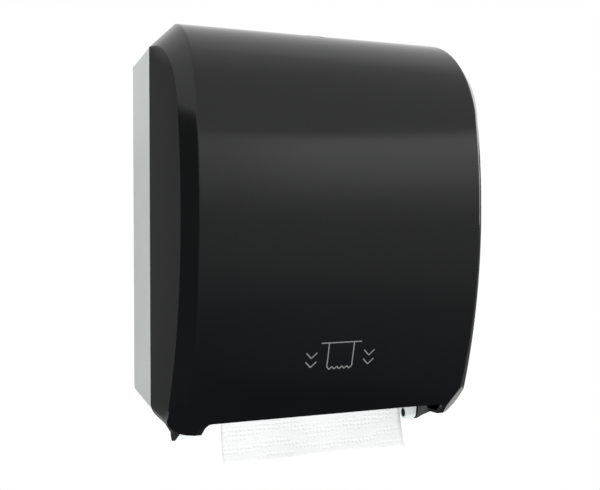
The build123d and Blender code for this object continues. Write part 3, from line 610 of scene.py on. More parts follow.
@dataclass(frozen=True)
class WoundPaper(Finish):
    """Side of a wound roll: fine turns about the roll's axis."""

    axis: Point2 = (0.0, 0.0)                  # of the roll, as (y, z)
    pitch: float = 0.0011                      # from one turn to the next

    def relief(self, tree: Tree, grain: Node) -> Socket:
        """Turns of the roll as fine ridges."""
        return self.turns(tree)

    def tint(self, tree: Tree, grain: Node, mask: Node) -> Socket:
        """Paper colour with faint darker turns."""
        return self.mix(tree, self.turns(tree), self.drift, self.colour)

    def turns(self, tree: Tree) -> Socket:
        """Rings about the roll's axis.

        Args:
            tree: Node tree of the material.

        Returns:
            Socket that rises and falls once in each ring.
        """
        plain_ring = pi / 10                   # ring of the wave node at a scale of one
        place = add_node(tree, "ShaderNodeTexCoord").outputs["Object"]
        shifted = add_node(tree, "ShaderNodeMapping", Vector=place,
                           Location=(0.0, -self.axis[0], -self.axis[1]))
        rings = add_node(tree, "ShaderNodeTexWave", Vector=shifted.outputs["Vector"],
                         Scale=plain_ring / self.pitch, Distortion=1.2, Detail=2.0, Detail_Scale=0.6)
        rings.wave_type = "RINGS"
        rings.rings_direction = "X"
        return rings.outputs["Fac"]


FINISHES: dict[str, Finish] = {
    "cover_black": Finish("satin_black_moulding", (0.0025, 0.0028, 0.0033), (0.0036, 0.0040, 0.0045),
                          0.085, 0.15, grain=0.0009, depth=0.000003, edge=0.0005),
    "housing_grey": Finish("pale_grey_moulding", (0.572, 0.618, 0.609), (0.616, 0.659, 0.649), 0.42, 0.55,
                           grain=0.0011, depth=0.00002, edge=0.0008),
    "frame_grey": Finish("frame_grey_moulding", (0.235, 0.250, 0.255), (0.275, 0.288, 0.292), 0.45, 0.60,
                         grain=0.0012, depth=0.00002, edge=0.0005),
    "drum_grey": Finish("drum_grey_moulding", (0.110, 0.116, 0.122), (0.135, 0.140, 0.146), 0.40, 0.55,
                        grain=0.0010, depth=0.00002, edge=0.0004),
    "acetal": Finish("white_acetal", (0.730, 0.720, 0.680), (0.780, 0.772, 0.735), 0.34, 0.46,
                     grain=0.0014, depth=0.00001, edge=0.0004),
    "touch_blue": Finish("touch_point_blue", (0.020, 0.115, 0.370), (0.028, 0.135, 0.410), 0.32, 0.46,
                         grain=0.0010, depth=0.00002, edge=0.0004),
    "steel": Finish("bright_steel", (0.560, 0.565, 0.570), (0.640, 0.640, 0.640), 0.26, 0.42,
                    grain=0.0004, stretch=0.05, depth=0.000006, metallic=1.0, edge=0.0002),
    "blade_steel": Finish("ground_blade_steel", (0.600, 0.610, 0.620), (0.680, 0.685, 0.690), 0.20, 0.34,
                          grain=0.0003, stretch=0.04, depth=0.000005, metallic=1.0),
    "zinc": Finish("plated_zinc", (0.430, 0.435, 0.440), (0.500, 0.500, 0.500), 0.30, 0.45,
                   grain=0.0008, depth=0.000008, metallic=1.0, edge=0.0003),
    "rubber": Finish("dark_rubber", (0.030, 0.030, 0.031), (0.042, 0.042, 0.042), 0.72, 0.88,
                     grain=0.0008, depth=0.00004, specular=0.35, edge=0.0003),
    "paper": EmbossedPaper("embossed_towel", (0.905, 0.910, 0.915), (0.930, 0.934, 0.938), 0.88, 0.96,
                           grain=0.0007, depth=0.00025, handled=0.3, specular=0.2, sheen=0.1),
    "card": Finish("grey_brown_card", (0.330, 0.245, 0.160), (0.400, 0.305, 0.210), 0.85, 0.95,
                   grain=0.0006, depth=0.00005, specular=0.25),
    "roll_side": WoundPaper("wound_towel", (0.850, 0.848, 0.838), (0.690, 0.685, 0.670), 0.90, 0.96,
                            depth=0.00008, specular=0.2, axis=ROLL_AXIS),
    "sign_grey": Finish("printed_grey_lines", (0.150, 0.152, 0.152), (0.185, 0.187, 0.187), 0.40, 0.52,
                        grain=0.0006, depth=0.000004),
}


def dress(piece: Piece, slot: str, finish: str | None = None) -> Piece:
    """Give a piece the finish of the record's slot that it comes from, or another finish.

    Args:
        piece: Piece to dress.
        slot: Material slot of the record.
        finish: Name of the finish, where it isn't the slot's own.

    Returns:
        The piece.
    """
    piece.data.materials.clear()
    piece.data.materials.append(FINISHES[finish or slot].material())
    return piece


# Sub-assemblies


@dataclass(frozen=True)
class BowLine:
    """Side view of the bowed front: a crown, an upper bow and a lower bow, as tangent arcs.

    Heights are above the housing's lower edge, depths from the wall.
    """

    depth: float                           # at the furthest point
    bow: float                             # height of that point
    crown: float                           # height of the crown
    crown_radius: float
    upper_radius: float
    lower_radius: float
    chin: float                            # height of the lower end

    def points(self, inset: float, rear: float, steps: Sequence[int]) -> list[Point2]:
        """Points from the rear over the crown and the bow to the chin.

        Args:
            inset: Distance inside the outer surface.
            rear: Y of the first point.
            steps: Stretches along the crown, the upper bow and the lower bow.

        Returns:
            Points as (y, height).
        """
        bow_y = inset - self.depth
        upper_r, lower_r = self.upper_radius - inset, self.lower_radius - inset
        (crown_y, crown_z), crown_r, lean = self.crown_arc(inset)
        start = 180 - degrees(acos((crown_y - rear) / crown_r))
        chin_turn = degrees(asin((self.bow - self.chin - inset) / lower_r))
        crown = arc((crown_y, crown_z), crown_r, start, 180 - degrees(lean), steps[0])
        upper = arc((bow_y + upper_r, self.bow), upper_r, 180 - degrees(lean), 180, steps[1])
        lower = arc((bow_y + lower_r, self.bow), lower_r, 180, 180 + chin_turn, steps[2])
        return crown[:-1] + upper[:-1] + lower

    def crown_arc(self, inset: float) -> tuple[Point2, float, float]:
        """The crown's arc, which meets the upper bow without a corner.

        Args:
            inset: Distance inside the outer surface.

        Returns:
            Middle as (y, height), radius, and how far the arc's front end leans, in radians.
        """
        crown_r, upper_r = self.crown_radius - inset, self.upper_radius - inset
        lean = asin((self.crown - inset - self.bow - crown_r) / (upper_r - crown_r))
        crown_y = inset - self.depth + upper_r - (upper_r - crown_r) * cos(lean)
        return (crown_y, self.crown - inset - crown_r), crown_r, lean

    def face_y(self, height: float) -> float:
        """Y of the bow at a height between crown and chin."""
        radius = self.upper_radius if height > self.bow else self.lower_radius
        return -self.depth + radius - sqrt(radius ** 2 - (height - self.bow) ** 2)


@dataclass
class FrontCover:
    """Black front cover: bowed front, bevels, tapering sides, cut lower corners and hinge ears."""

    half_width: float = 0.1685
    face_half: float = 0.1425              # half width of the bowed front
    edge_half: float = 0.1553              # bevel's outer edge, where it is furthest forward
    edge_spread: float = 0.083             # its way outwards towards the wall, per length
    seam_shy: float = 0.0003               # how far that edge ends inside the side at the seam
    face: BowLine = BowLine(0.202, 0.1935, 0.3795, 0.119, 0.532, 0.497, -0.010)
    edge: BowLine = BowLine(0.1843, 0.1897, 0.352, 0.0735, 0.550, 0.464, 0.002)
    steps: tuple[int, int, int] = (18, 16, 20)
    edge_round: float = 0.0010
    edge_steps: int = 3
    face_round: float = 0.0040
    face_steps: int = 6
    panel_columns: int = 4
    front_columns: int = 24
    face_foot: tuple[Point2, ...] = (      # front's edge below the chin, as (y, height)
        (-0.145, -0.0207), (-0.126, -0.0222), (-0.1200, -0.0130), (-0.109, -0.0095))
    edge_foot: tuple[Point3, ...] = (      # bevel's edge there, as (x, y, height)
        (0.1570, -0.138, -0.0170), (0.1590, -0.131, -0.0175),
        (0.1633, -0.118, -0.0140), (0.1660, -0.109, -0.0105))
    seam_foot: tuple[float, ...] = (0.0030, 0.0010, -0.0015, -0.0040, -0.0065, -0.0088)    # heights
    face_in: float = 0.45                  # inward step of the front's edge, per inset
    bevel_in: float = 0.4                  # inset of the bevel's side view, per inset
    edge_in: float = 0.95                  # inward step of the bevel's edge, per inset
    edge_back: float = 0.3                 # backward step of that edge in the feet, per inset
    face_back: float = 0.5                 # backward step of the front's edge in the feet, per inset
    last_step: Point2 = (0.0008, 0.0001)   # keeps the last row's corners apart
    weld: float = 0.00001                  # points nearer than this are joined
    shade_degrees: float = 24.0            # flatter edges are shaded smooth
    corner_rise: float = 0.0092            # top of the cut lower corners
    corner_turn: float = 41.8              # degrees, corner turned outwards
    corner_pitch: float = 35.5             # degrees, corner turned down
    turn_rear: Point3 = (0.1685, SEAM, 0.0045)         # where the side starts to turn under
    turn_front: Point3 = (0.1582, -0.1415, -0.0040)
    turn_radius: float = 0.016
    turn_degrees: tuple[float, ...] = (12.0, 24.0, 36.0, 48.0, 60.0)
    lip: float = -0.0076                   # lower edge of the front
    outlet_half: float = 0.1265
    outlet_flare: float = 0.0012
    outlet_round: float = 0.006
    outlet_steps: int = 8
    outlet_drop: float = 0.012             # how far the outlet's cut runs below the feet
    outlet_reach: Point2 = (-0.19, -0.08)  # Y of that cut's ends
    outlet_floor: float = 0.0056           # how high the open underside cuts into the sides of the feet
    outlet_front: float = -0.148
    underside_drop: float = 0.04           # how far the underside's cut runs down
    underside_back: float = 0.01           # and past the seam
    hinge: Point2 = (-0.073, -0.225)
    ear_inner: float = 0.139
    ear_thickness: float = 0.013
    ear_radius: float = 0.008
    ear_arc: Point2 = (60.0, -120.0)       # degrees, round end of the ear
    ear_steps: int = 16
    ear_tip: float = 0.0025                # thickness at the hinge
    ear_slant: float = 0.017               # height over which the ear gets thick
    ear_root: float = 0.001                # how far the ear's rear corner sits below the wall
    slant_low: float = 0.001               # start of the slant below the hinge
    slant_margin: float = 0.02             # how far the slant's outline runs past the ear
    slant_reach: Point2 = (-0.2, 0.0)      # Y of the slant's ends
    stub_radius: float = 0.005
    stub_length: float = 0.0135
    stub_root: float = 0.001               # how deep the stub starts in the ear
    stub_sides: int = 24
    lock_lead: float = 0.012               # lock's place in front of the seam
    lock_hole: float = 0.0086
    lock_drill_half: float = 0.02
    lock_sides: int = 48
    inner_rear: float = -0.100             # the hollow runs past the seam, so that the back is open

    def corner_points(self, inset: float, rear: float) -> list[list[Vector]]:
        """Rows of corners from the seam over the front to the underside.

        Args:
            inset: Distance inside the outer surface.
            rear: Y of the open back.

        Returns:
            For each row: side at the back, bevel's outer edge and front's edge, on the right.
        """
        side_x, face_x = self.half_width - inset, self.face_half - self.face_in * inset
        face_line = self.face.points(inset, rear, self.steps)
        edge_line = self.edge.points(self.bevel_in * inset, rear, self.steps)
        reach = self.edge.depth + SEAM
        flare = (self.half_width - self.seam_shy - self.edge_half - self.edge_spread * reach) / reach ** 2
        rows = []
        for (face_y, face_z), (edge_y, edge_z) in zip(face_line, edge_line):
            back = self.edge.depth + min(edge_y, SEAM)
            edge_x = self.edge_half + self.edge_spread * back + flare * back ** 2 - self.edge_in * inset
            rows.append([
                Vector((side_x, rear, BASE + edge_z)),
                Vector((edge_x, edge_y, BASE + edge_z)),
                Vector((face_x, face_y, BASE + face_z)),
            ])
        rows[-1][0].z = BASE + self.seam_foot[0] + inset
        feet = zip(self.face_foot, self.edge_foot, self.seam_foot[1:])
        for (face_y, face_z), (edge_x, edge_y, edge_z), side_z in feet:
            edge_x, edge_y = edge_x - self.edge_in * inset, edge_y + self.edge_back * inset
            rows.append([
                Vector((side_x, rear, BASE + side_z + inset)),
                Vector((edge_x, edge_y, BASE + edge_z + inset)),
                Vector((face_x, face_y + self.face_back * inset, BASE + face_z + inset)),
            ])
        low = BASE + self.seam_foot[-1] + inset
        step_x, step_z = self.last_step
        rows.append([
            Vector((side_x, rear, low)),
            Vector((side_x - step_x, rear, low - step_z)),
            Vector((face_x, rear, low - step_z)),
        ])
        return rows

    def row_line(self, row: Sequence[Vector]) -> list[Vector]:
        """One row of the surface from the left side to the right, with its corners rounded.

        Args:
            row: Its corners on the right, from the side to the front.

        Returns:
            Points of the row, in order.
        """
        side, edge, face = row
        other = Vector((-face.x, face.y, face.z))
        edge_arc = round_corner(side, edge, face, self.edge_round, self.edge_steps)
        face_arc = round_corner(edge, face, other, self.face_round, self.face_steps)
        half = between(side, edge_arc[0], self.panel_columns) + edge_arc[:-1]
        half += between(edge_arc[-1], face_arc[0], self.panel_columns) + face_arc
        left = [Vector((-p.x, p.y, p.z)) for p in half]
        front = between(left[-1], half[-1], self.front_columns)[1:]
        return left + front + half[::-1]

    def block(self, name: str, inset: float, rear: float) -> Piece:
        """Closed solid of the cover's outer shape, or of its hollow.

        Args:
            name: Name of the solid.
            inset: Distance inside the outer surface.
            rear: Y of the flat back.

        Returns:
            The solid, with its two lower corners cut.
        """
        rows = [self.row_line(row) for row in self.corner_points(inset, rear)]
        columns = len(rows[0])
        points = [p for row in rows for p in row]
        last = (len(rows) - 1) * columns
        back = list(range(columns))
        back += [i * columns + columns - 1 for i in range(1, len(rows))]
        back += [last + j for j in range(columns - 2, -1, -1)]
        back += [i * columns for i in range(len(rows) - 2, 0, -1)]
        solid = new_piece(name, points, grid_faces(len(rows), columns) + [back])
        self.cut_corners(solid, inset)
        return solid

    def cut_corners(self, solid: Piece, inset: float) -> None:
        """Cut both lower corners off with slanted flat faces, and turn the sides under.

        Args:
            solid: Solid to cut.
            inset: Distance of the cuts inside the outer surface.
        """
        turn, pitch = radians(self.corner_turn), radians(self.corner_pitch)
        work = bmesh.new()
        work.from_mesh(solid.data)
        for side in SIDES:
            facing = Vector((side * cos(pitch) * sin(turn), -cos(pitch) * cos(turn), -sin(pitch)))
            corner_y = self.face.face_y(self.corner_rise)
            place = Vector((side * self.face_half, corner_y, BASE + self.corner_rise))
            planes = [(place, facing)] + self.turned_edge(side)
            for place, facing in planes:
                everything = work.verts[:] + work.edges[:] + work.faces[:]
                result = bmesh.ops.bisect_plane(work, geom=everything, plane_co=place - facing * inset,
                                                plane_no=facing, clear_outer=True)
                rim = [part for part in result["geom_cut"] if isinstance(part, bmesh.types.BMEdge)]
                bmesh.ops.edgenet_fill(work, edges=rim)
        bmesh.ops.remove_doubles(work, verts=work.verts, dist=self.weld)
        bmesh.ops.recalc_face_normals(work, faces=work.faces)
        work.to_mesh(solid.data)
        work.free()

    def turned_edge(self, side: int) -> list[tuple[Vector, Vector]]:
        """Planes that round the lower edge of a side panel.

        Args:
            side: -1 for the left panel, 1 for the right one.

        Returns:
            Place and outward direction of each plane.
        """
        rear, front = (Vector((side * x, y, BASE + z)) for x, y, z in (self.turn_rear, self.turn_front))
        along = (front - rear).normalized()
        outward = Vector((-side * along.y, side * along.x, 0)).normalized()
        down = outward.cross(along).normalized()
        down = down if down.z < 0 else -down
        middle = rear - outward * self.turn_radius
        planes = []
        for turn in self.turn_degrees:
            facing = cos(radians(turn)) * outward + sin(radians(turn)) * down
            planes.append((middle + facing * self.turn_radius, facing))
        return planes

    def outlet(self) -> Piece:
        """Solid of the outlet's outline, seen from the front, with rounded upper corners.

        Returns:
            The solid.
        """
        low = self.face_foot[0][1] - self.outlet_drop
        slope = self.outlet_flare / (self.lip - self.face_foot[0][1])
        top, bottom = BASE + self.lip, BASE + low
        mouth = self.outlet_half + slope * (self.lip - low)
        corners = [Vector((-mouth, 0, bottom)), Vector((-self.outlet_half, 0, top)),
                   Vector((self.outlet_half, 0, top)), Vector((mouth, 0, bottom))]
        line = [corners[0]]
        for before, corner, after in (corners[:3], corners[1:]):
            line += round_corner(before, corner, after, self.outlet_round, self.outlet_steps)
        line.append(corners[3])
        return prism("outlet_cut", [(p.x, p.z) for p in line], View.FRONT, *self.outlet_reach)

    def underside(self) -> Piece:
        """Solid that opens the underside between the feet.

        Returns:
            The solid.
        """
        half, front, rear = self.outlet_half, self.outlet_front, SEAM + self.underside_back
        outline = [(-half, front), (half, front), (half, rear), (-half, rear)]
        low, high = BASE - self.underside_drop, BASE + self.outlet_floor
        return prism("underside_cut", outline, View.PLAN, low, high)

    def ear(self, side: int) -> Piece:
        """Gusset from a lower corner back and down to its stub on the hinge axis.

        Args:
            side: -1 for the left ear, 1 for the right one.

        Returns:
            The ear with its stub.
        """
        foot_back, skirt, rear = (Vector(p) for p in self.face_foot[1:])
        upper = [((foot_back.x + skirt.x) / 2, BASE + (foot_back.y + skirt.y) / 2),
                 (skirt.x, BASE + skirt.y + WALL / 2), (rear.x, BASE + rear.y + WALL / 2),
                 (SEAM - WALL, BASE - WALL - self.ear_root)]
        outline = upper + arc(self.hinge, self.ear_radius, *self.ear_arc, self.ear_steps)
        inner = side * self.ear_inner
        outer = side * (self.ear_inner + self.ear_thickness)
        tip = side * (self.ear_inner + self.ear_tip)
        solid = prism("ear", outline, View.SIDE, inner, outer)
        low, high = self.hinge[1] - self.slant_margin, BASE + self.slant_margin
        start = self.hinge[1] - self.slant_low
        slant = [(inner, low), (tip, low), (tip, start), (outer, start + self.ear_slant), (outer, high),
                 (inner, high)]
        carve(solid, prism("slant", slant, View.FRONT, *self.slant_reach), Cut.KEEP_COMMON)
        outline = circle(self.hinge, self.stub_radius, self.stub_sides)
        stub = prism("stub", outline, View.SIDE, inner + side * self.stub_root,
                     inner - side * self.stub_length)
        return carve(solid, stub, Cut.JOIN)

    def lock_drill(self) -> Piece:
        """Round solid of the lock's hole, square to the crown.

        Returns:
            The solid.
        """
        place, along = self.lock_axis()
        reach = along * self.lock_drill_half
        return tube("lock_drill", [place - reach, place + reach], self.lock_hole, self.lock_sides)

    def lock_axis(self) -> tuple[Vector, Vector]:
        """Find the lock's place on the crown.

        Returns:
            The place, and the direction out of the crown there.
        """
        (crown_y, crown_z), radius, _ = self.face.crown_arc(0.0)
        turn = asin((crown_y - SEAM + self.lock_lead) / radius)
        along = Vector((0, -sin(turn), cos(turn)))
        return Vector((0, crown_y, BASE + crown_z)) + along * radius, along

    def build(self) -> list[Piece]:
        """Build the cover, its two hinge ears and its printed sign.

        Returns:
            The pieces.
        """
        cover = self.block("cover_shell", 0.0, SEAM)
        hollow = self.block("hollow", WALL, self.inner_rear)
        for tool in (hollow, self.outlet(), self.underside(), self.lock_drill()):
            carve(cover, tool, Cut.REMOVE)
        dress(smooth(cover, self.shade_degrees), "cover_black")
        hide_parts("front_cover")
        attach(cover, "cover")
        pieces = [cover]
        for side, word in zip(SIDES, SIDE_WORDS):
            ear = self.ear(side)
            ear.name = f"hinge_ear_{word}"
            dress(smooth(ear, self.shade_degrees), "cover_black")
            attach(ear, "cover")
            pieces.append(ear)
        sign = PullSign(self.face).build()
        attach(sign, "cover")
        return pieces + [sign]


@dataclass
class PullSign:
    """Thin printed lines on the front: a hanging sheet with a notched edge, and arrows beside it."""

    face: BowLine
    middle: float = 0.054                  # height above the housing's lower edge
    line_width: float = 0.0011
    lift: float = 0.00012                  # how far the lines stand out of the front
    slot_half: float = 0.021               # half the line that the sheet hangs from
    sheet_half: float = 0.013
    sheet_top: float = 0.013
    sheet_low: float = -0.011
    notches: int = 5
    arrow_place: float = 0.030             # from the sign's middle, to both sides
    arrow_half: float = 0.0055
    arrow_heights: Point2 = (0.004, -0.005)
    stretch: float = 0.003                 # length of a line's flat stretches on the bow

    def strokes(self) -> list[list[Point2]]:
        """Draw the sign's lines.

        Returns:
            Both ends of each line, as (x, height from the sign's middle).
        """
        notch = 2 * self.sheet_half / self.notches
        lines = [
            [(-self.slot_half, self.sheet_top), (self.slot_half, self.sheet_top)],
            [(-self.sheet_half, self.sheet_top), (-self.sheet_half, self.sheet_low)],
            [(self.sheet_half, self.sheet_top), (self.sheet_half, self.sheet_low)],
        ]
        for i in range(self.notches):
            start = -self.sheet_half + i * notch
            tooth = (start + notch / 2, self.sheet_low - notch / 2)
            lines += [[(start, self.sheet_low), tooth], [tooth, (start + notch, self.sheet_low)]]
        for side in SIDES:
            for drop in self.arrow_heights:
                tip = (side * self.arrow_place, drop - self.arrow_half)
                for way in SIDES:
                    lines.append([(tip[0] + way * self.arrow_half, drop), tip])
        return lines

    def build(self) -> Piece:
        """Make the lines as low strips on the bowed front.

        Returns:
            The sign.
        """
        points: list[Vector] = []
        faces: list[list[int]] = []
        for (x0, z0), (x1, z1) in self.strokes():
            run = hypot(x1 - x0, z1 - z0)
            along = Vector(((x1 - x0) / run, (z1 - z0) / run))
            across = Vector((-along.y, along.x)) * self.line_width / 2
            steps = max(2, round(run / self.stretch))
            first = len(points)
            for i in range(steps + 1):
                middle = Vector((x0, z0)) + along * (run * i / steps)
                for place in (middle - across, middle + across):
                    height = self.middle + place.y
                    y = self.face.face_y(height)
                    points += [Vector((place.x, y - self.lift, BASE + height)),
                               Vector((place.x, y + self.lift, BASE + height))]
            for i in range(steps):             # four corners in each section of a line
                a, b = first + 4 * i, first + 4 * i + 4
                faces += [[a, a + 2, b + 2, b], [a + 1, b + 1, b + 3, a + 3],
                          [a, b, b + 1, a + 1], [a + 2, a + 3, b + 3, b + 2]]
            end = first + 4 * steps
            faces += [[first, first + 1, first + 3, first + 2], [end, end + 2, end + 3, end + 1]]
        sign = new_piece("pull_sign", points, faces)
        return dress(sign, "cover_black", "sign_grey")


@dataclass
class Towel:
    """Towel from the roll over the feed drum and out of the outlet, and the roll that it comes from."""

    width: float = 0.200
    roll_axis: Point2 = ROLL_AXIS
    roll_radius: float = 0.0795
    core_radius: float = 0.02055
    drum_axis: Point2 = (-0.070, -0.085)
    path_radius: float = 0.0409            # drum's axis to the middle of the towel
    tail_end: float = -0.250               # lower edge of the towel
    curl_length: float = 0.050
    curl_radius: float = 0.115
    thickness: float = 0.0004
    columns: int = 40
    web_rows: int = 12                     # from the roll to the drum
    wrap_rows: int = 16                    # on the drum
    fall_rows: int = 24                    # from the drum to the curl
    curl_rows: int = 16
    ripple: float = 0.0016                 # waves of the hanging end
    ripple_start: float = 0.02             # height above the housing's lower edge where they start
    waves: tuple[Point3, ...] = (          # share, radians per metre and radians at the middle
        (1.0, 46.0, 0.7), (0.5, 97.0, 2.0))
    edge_roll: float = 0.0005              # softened edge of the wound roll
    edge_share: float = 0.3                # where the softened edge is cut, as a share of it
    roll_sides: int = 160
    side_facing: float = 0.5               # faces that point along X by more are the roll's sides

    def route(self) -> list[Point2]:
        """Side view of the towel, from the roll to its lower edge.

        Returns:
            Points as (y, z).
        """
        reach = hypot(self.roll_axis[0] - self.drum_axis[0], self.roll_axis[1] - self.drum_axis[1])
        offset = self.roll_radius + self.path_radius
        rise = atan2(self.roll_axis[1] - self.drum_axis[1], self.drum_axis[0] - self.roll_axis[0])
        lead = degrees(rise - acos(offset / reach))
        run = sqrt(reach ** 2 - offset ** 2)
        wrap = arc(self.drum_axis, self.path_radius, 180 - lead, 180, self.wrap_rows)
        (first_y, first_z), (last_y, last_z) = wrap[0], wrap[-1]
        far = run / self.web_rows
        web = [(first_y + sin(radians(lead)) * far * t, first_z + cos(radians(lead)) * far * t)
               for t in range(self.web_rows, 0, -1)]
        curl_z = self.tail_end + self.curl_length
        fall = (last_z - curl_z) / self.fall_rows
        straight = [(last_y, last_z - fall * t) for t in range(1, self.fall_rows)]
        turn = degrees(asin(self.curl_length / self.curl_radius))
        curl = arc((last_y - self.curl_radius, curl_z), self.curl_radius, 0, -turn, self.curl_rows)
        return web + wrap + straight + curl

    def sheet(self) -> Piece:
        """Build the towel as one thin sheet that waves a little at its free end.

        Returns:
            The towel.
        """
        route = self.route()
        top = BASE + self.ripple_start
        points = []
        for y, z in route:
            free = max(0.0, (top - z) / (top - self.tail_end))
            for j in range(self.columns + 1):
                x = self.width * (j / self.columns - 0.5)
                wave = sum(share * sin(x * rate + shift) for share, rate, shift in self.waves)
                points.append(Vector((x, y + self.ripple * free * wave, z)))
        towel = new_piece("towel", points, grid_faces(len(route), self.columns + 1))
        towel.data.shade_smooth()
        thick = towel.modifiers.new("thickness", "SOLIDIFY")
        thick.thickness = self.thickness
        thick.offset = 0.0
        dress(towel, "paper")
        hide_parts("towel_sheet")
        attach(towel, "housing")
        return towel

    def roll(self) -> Piece:
        """Build the wound roll with softened edges.

        Returns:
            The roll.
        """
        half, radius, soft = self.width / 2, self.roll_radius, self.edge_roll
        cut = soft * self.edge_share
        left = [(-half, self.core_radius), (-half, radius - soft), (-half + cut, radius - cut),
                (-half + soft, radius)]
        profile = left + [(-x, r) for x, r in reversed(left)]
        roll = smooth(lathe("wound_roll", profile, self.roll_axis, self.roll_sides))
        dress(roll, "paper", "roll_side")
        roll.data.materials.append(FINISHES["paper"].material())
        for face in roll.data.polygons:
            face.material_index = 0 if abs(face.normal.x) > self.side_facing else 1
        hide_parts("paper_roll")
        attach(roll, "towel_roll")
        return roll

    def build(self) -> list[Piece]:
        """Build the sheet and the roll."""
        return [self.sheet(), self.roll()]


@dataclass
class Springs:
    """Wound springs: the drum's return spring, two pinch springs and the knife's torsion spring."""

    crank: Point2 = (-0.0628, -0.0719)     # crank pin at rest, as (y, z)
    crank_pin: float = 0.0025              # its radius
    post: Point2 = (-0.030, -0.025)        # post on the side frame, as (y, z)
    post_pin: float = 0.003                # its radius
    wire: float = 0.0006                   # radius of the return spring's wire
    body_radius: float = 0.0036
    return_turns: float = 17.0
    hook: float = 0.010                    # from a pin's axis to the first turn
    hook_gap: float = 0.0015               # between the hook's straight end and that turn
    eye_gap: float = 0.0001                # between an eye and its pin
    eye_lead: float = 0.001                # from the eye to the hook's straight start
    eye_arc: Point2 = (-60.0, 150.0)       # degrees
    eye_steps: int = 20
    pinch_rise: float = 20.0               # degrees, the pinch springs' way out above level
    pinch_length: float = 0.0082
    pinch_radius: float = 0.00305
    pinch_turns: float = 4.5
    pinch_wire: float = 0.00045
    knife_turns: float = 5.5
    knife_wire: float = 0.00055
    wire_sides: int = 10
    shade_degrees: float = 60.0            # flatter edges are shaded smooth

    def wound(self, node: str, line: Sequence[Vector], wire: float) -> Piece:
        """Build the wire of one spring.

        Args:
            node: Node that it stands for.
            line: Middle of the wire.
            wire: Radius of the wire.

        Returns:
            The spring, which rides on nothing yet.
        """
        spring = smooth(tube(f"wound_{node}", line, wire, self.wire_sides), self.shade_degrees)
        dress(spring, "steel")
        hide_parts(node)
        return spring

    def return_spring(self) -> Piece:
        """Build the return spring between its post on the housing and the crank pin.

        Returns:
            The spring.
        """
        low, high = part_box("return_spring")
        x = (low.x + high.x) / 2
        start, end = Vector((x, *self.post)), Vector((x, *self.crank))
        along = (end - start).normalized()
        aside = Vector((1, 0, 0)).cross(along)
        first, last = start + along * self.hook, end - along * self.hook
        length = (end - start).length - 2 * self.hook
        line = self.eye(start, along, aside, self.post_pin)
        line += coil(first, along, length, self.body_radius, self.return_turns)
        line += self.eye(end, -along, aside, self.crank_pin)[::-1]
        spring = self.wound("return_spring", line, self.wire)
        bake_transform(spring)
        return spring

    def eye(self, middle: Vector, along: Vector, aside: Vector, pin: float) -> list[Vector]:
        """Hooked eye around a pin, ending on the spring's own axis.

        Args:
            middle: Place of the pin.
            along: Direction from the pin to the spring.
            aside: Direction square to that, across the pin.
            pin: Radius of the pin.

        Returns:
            Middle of the wire, from the eye's free end to the spring's body.
        """
        radius = pin + self.wire + self.eye_gap
        bend = arc((0.0, 0.0), radius, *self.eye_arc, self.eye_steps)
        line = [middle - (u * along - v * aside) for u, v in bend]
        return line + [middle + along * far for far in (radius + self.eye_lead, self.hook - self.hook_gap)]

    def pinch_springs(self) -> list[Piece]:
        """Build the two springs behind the pinch roller's blocks.

        Returns:
            The springs.
        """
        rise = radians(self.pinch_rise)
        out = Vector((0, -cos(rise), sin(rise)))
        length = self.pinch_length - 2 * self.pinch_wire
        springs = []
        for word in SIDE_WORDS:
            node = f"pinch_spring_{word}"
            low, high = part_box(node)
            middle = (low + high) / 2
            line = coil(middle - out * length / 2, out, length, self.pinch_radius, self.pinch_turns)
            spring = self.wound(node, line, self.pinch_wire)
            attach(spring, "housing")
            springs.append(spring)
        return springs

    def knife_spring(self) -> Piece:
        """Build the torsion spring on the knife's left pin.

        Returns:
            The spring.
        """
        low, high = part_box("knife_spring")
        middle = (low + high) / 2
        start = Vector((low.x + self.knife_wire, middle.y, middle.z))
        length = high.x - low.x - 2 * self.knife_wire
        radius = (high.z - low.z) / 2 - self.knife_wire
        line = coil(start, Vector((1, 0, 0)), length, radius, self.knife_turns)
        spring = self.wound("knife_spring", line, self.knife_wire)
        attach(spring, "knife")
        return spring

    def build(self) -> list[Piece]:
        """Build all four springs."""
        return [self.return_spring(), *self.pinch_springs(), self.knife_spring()]


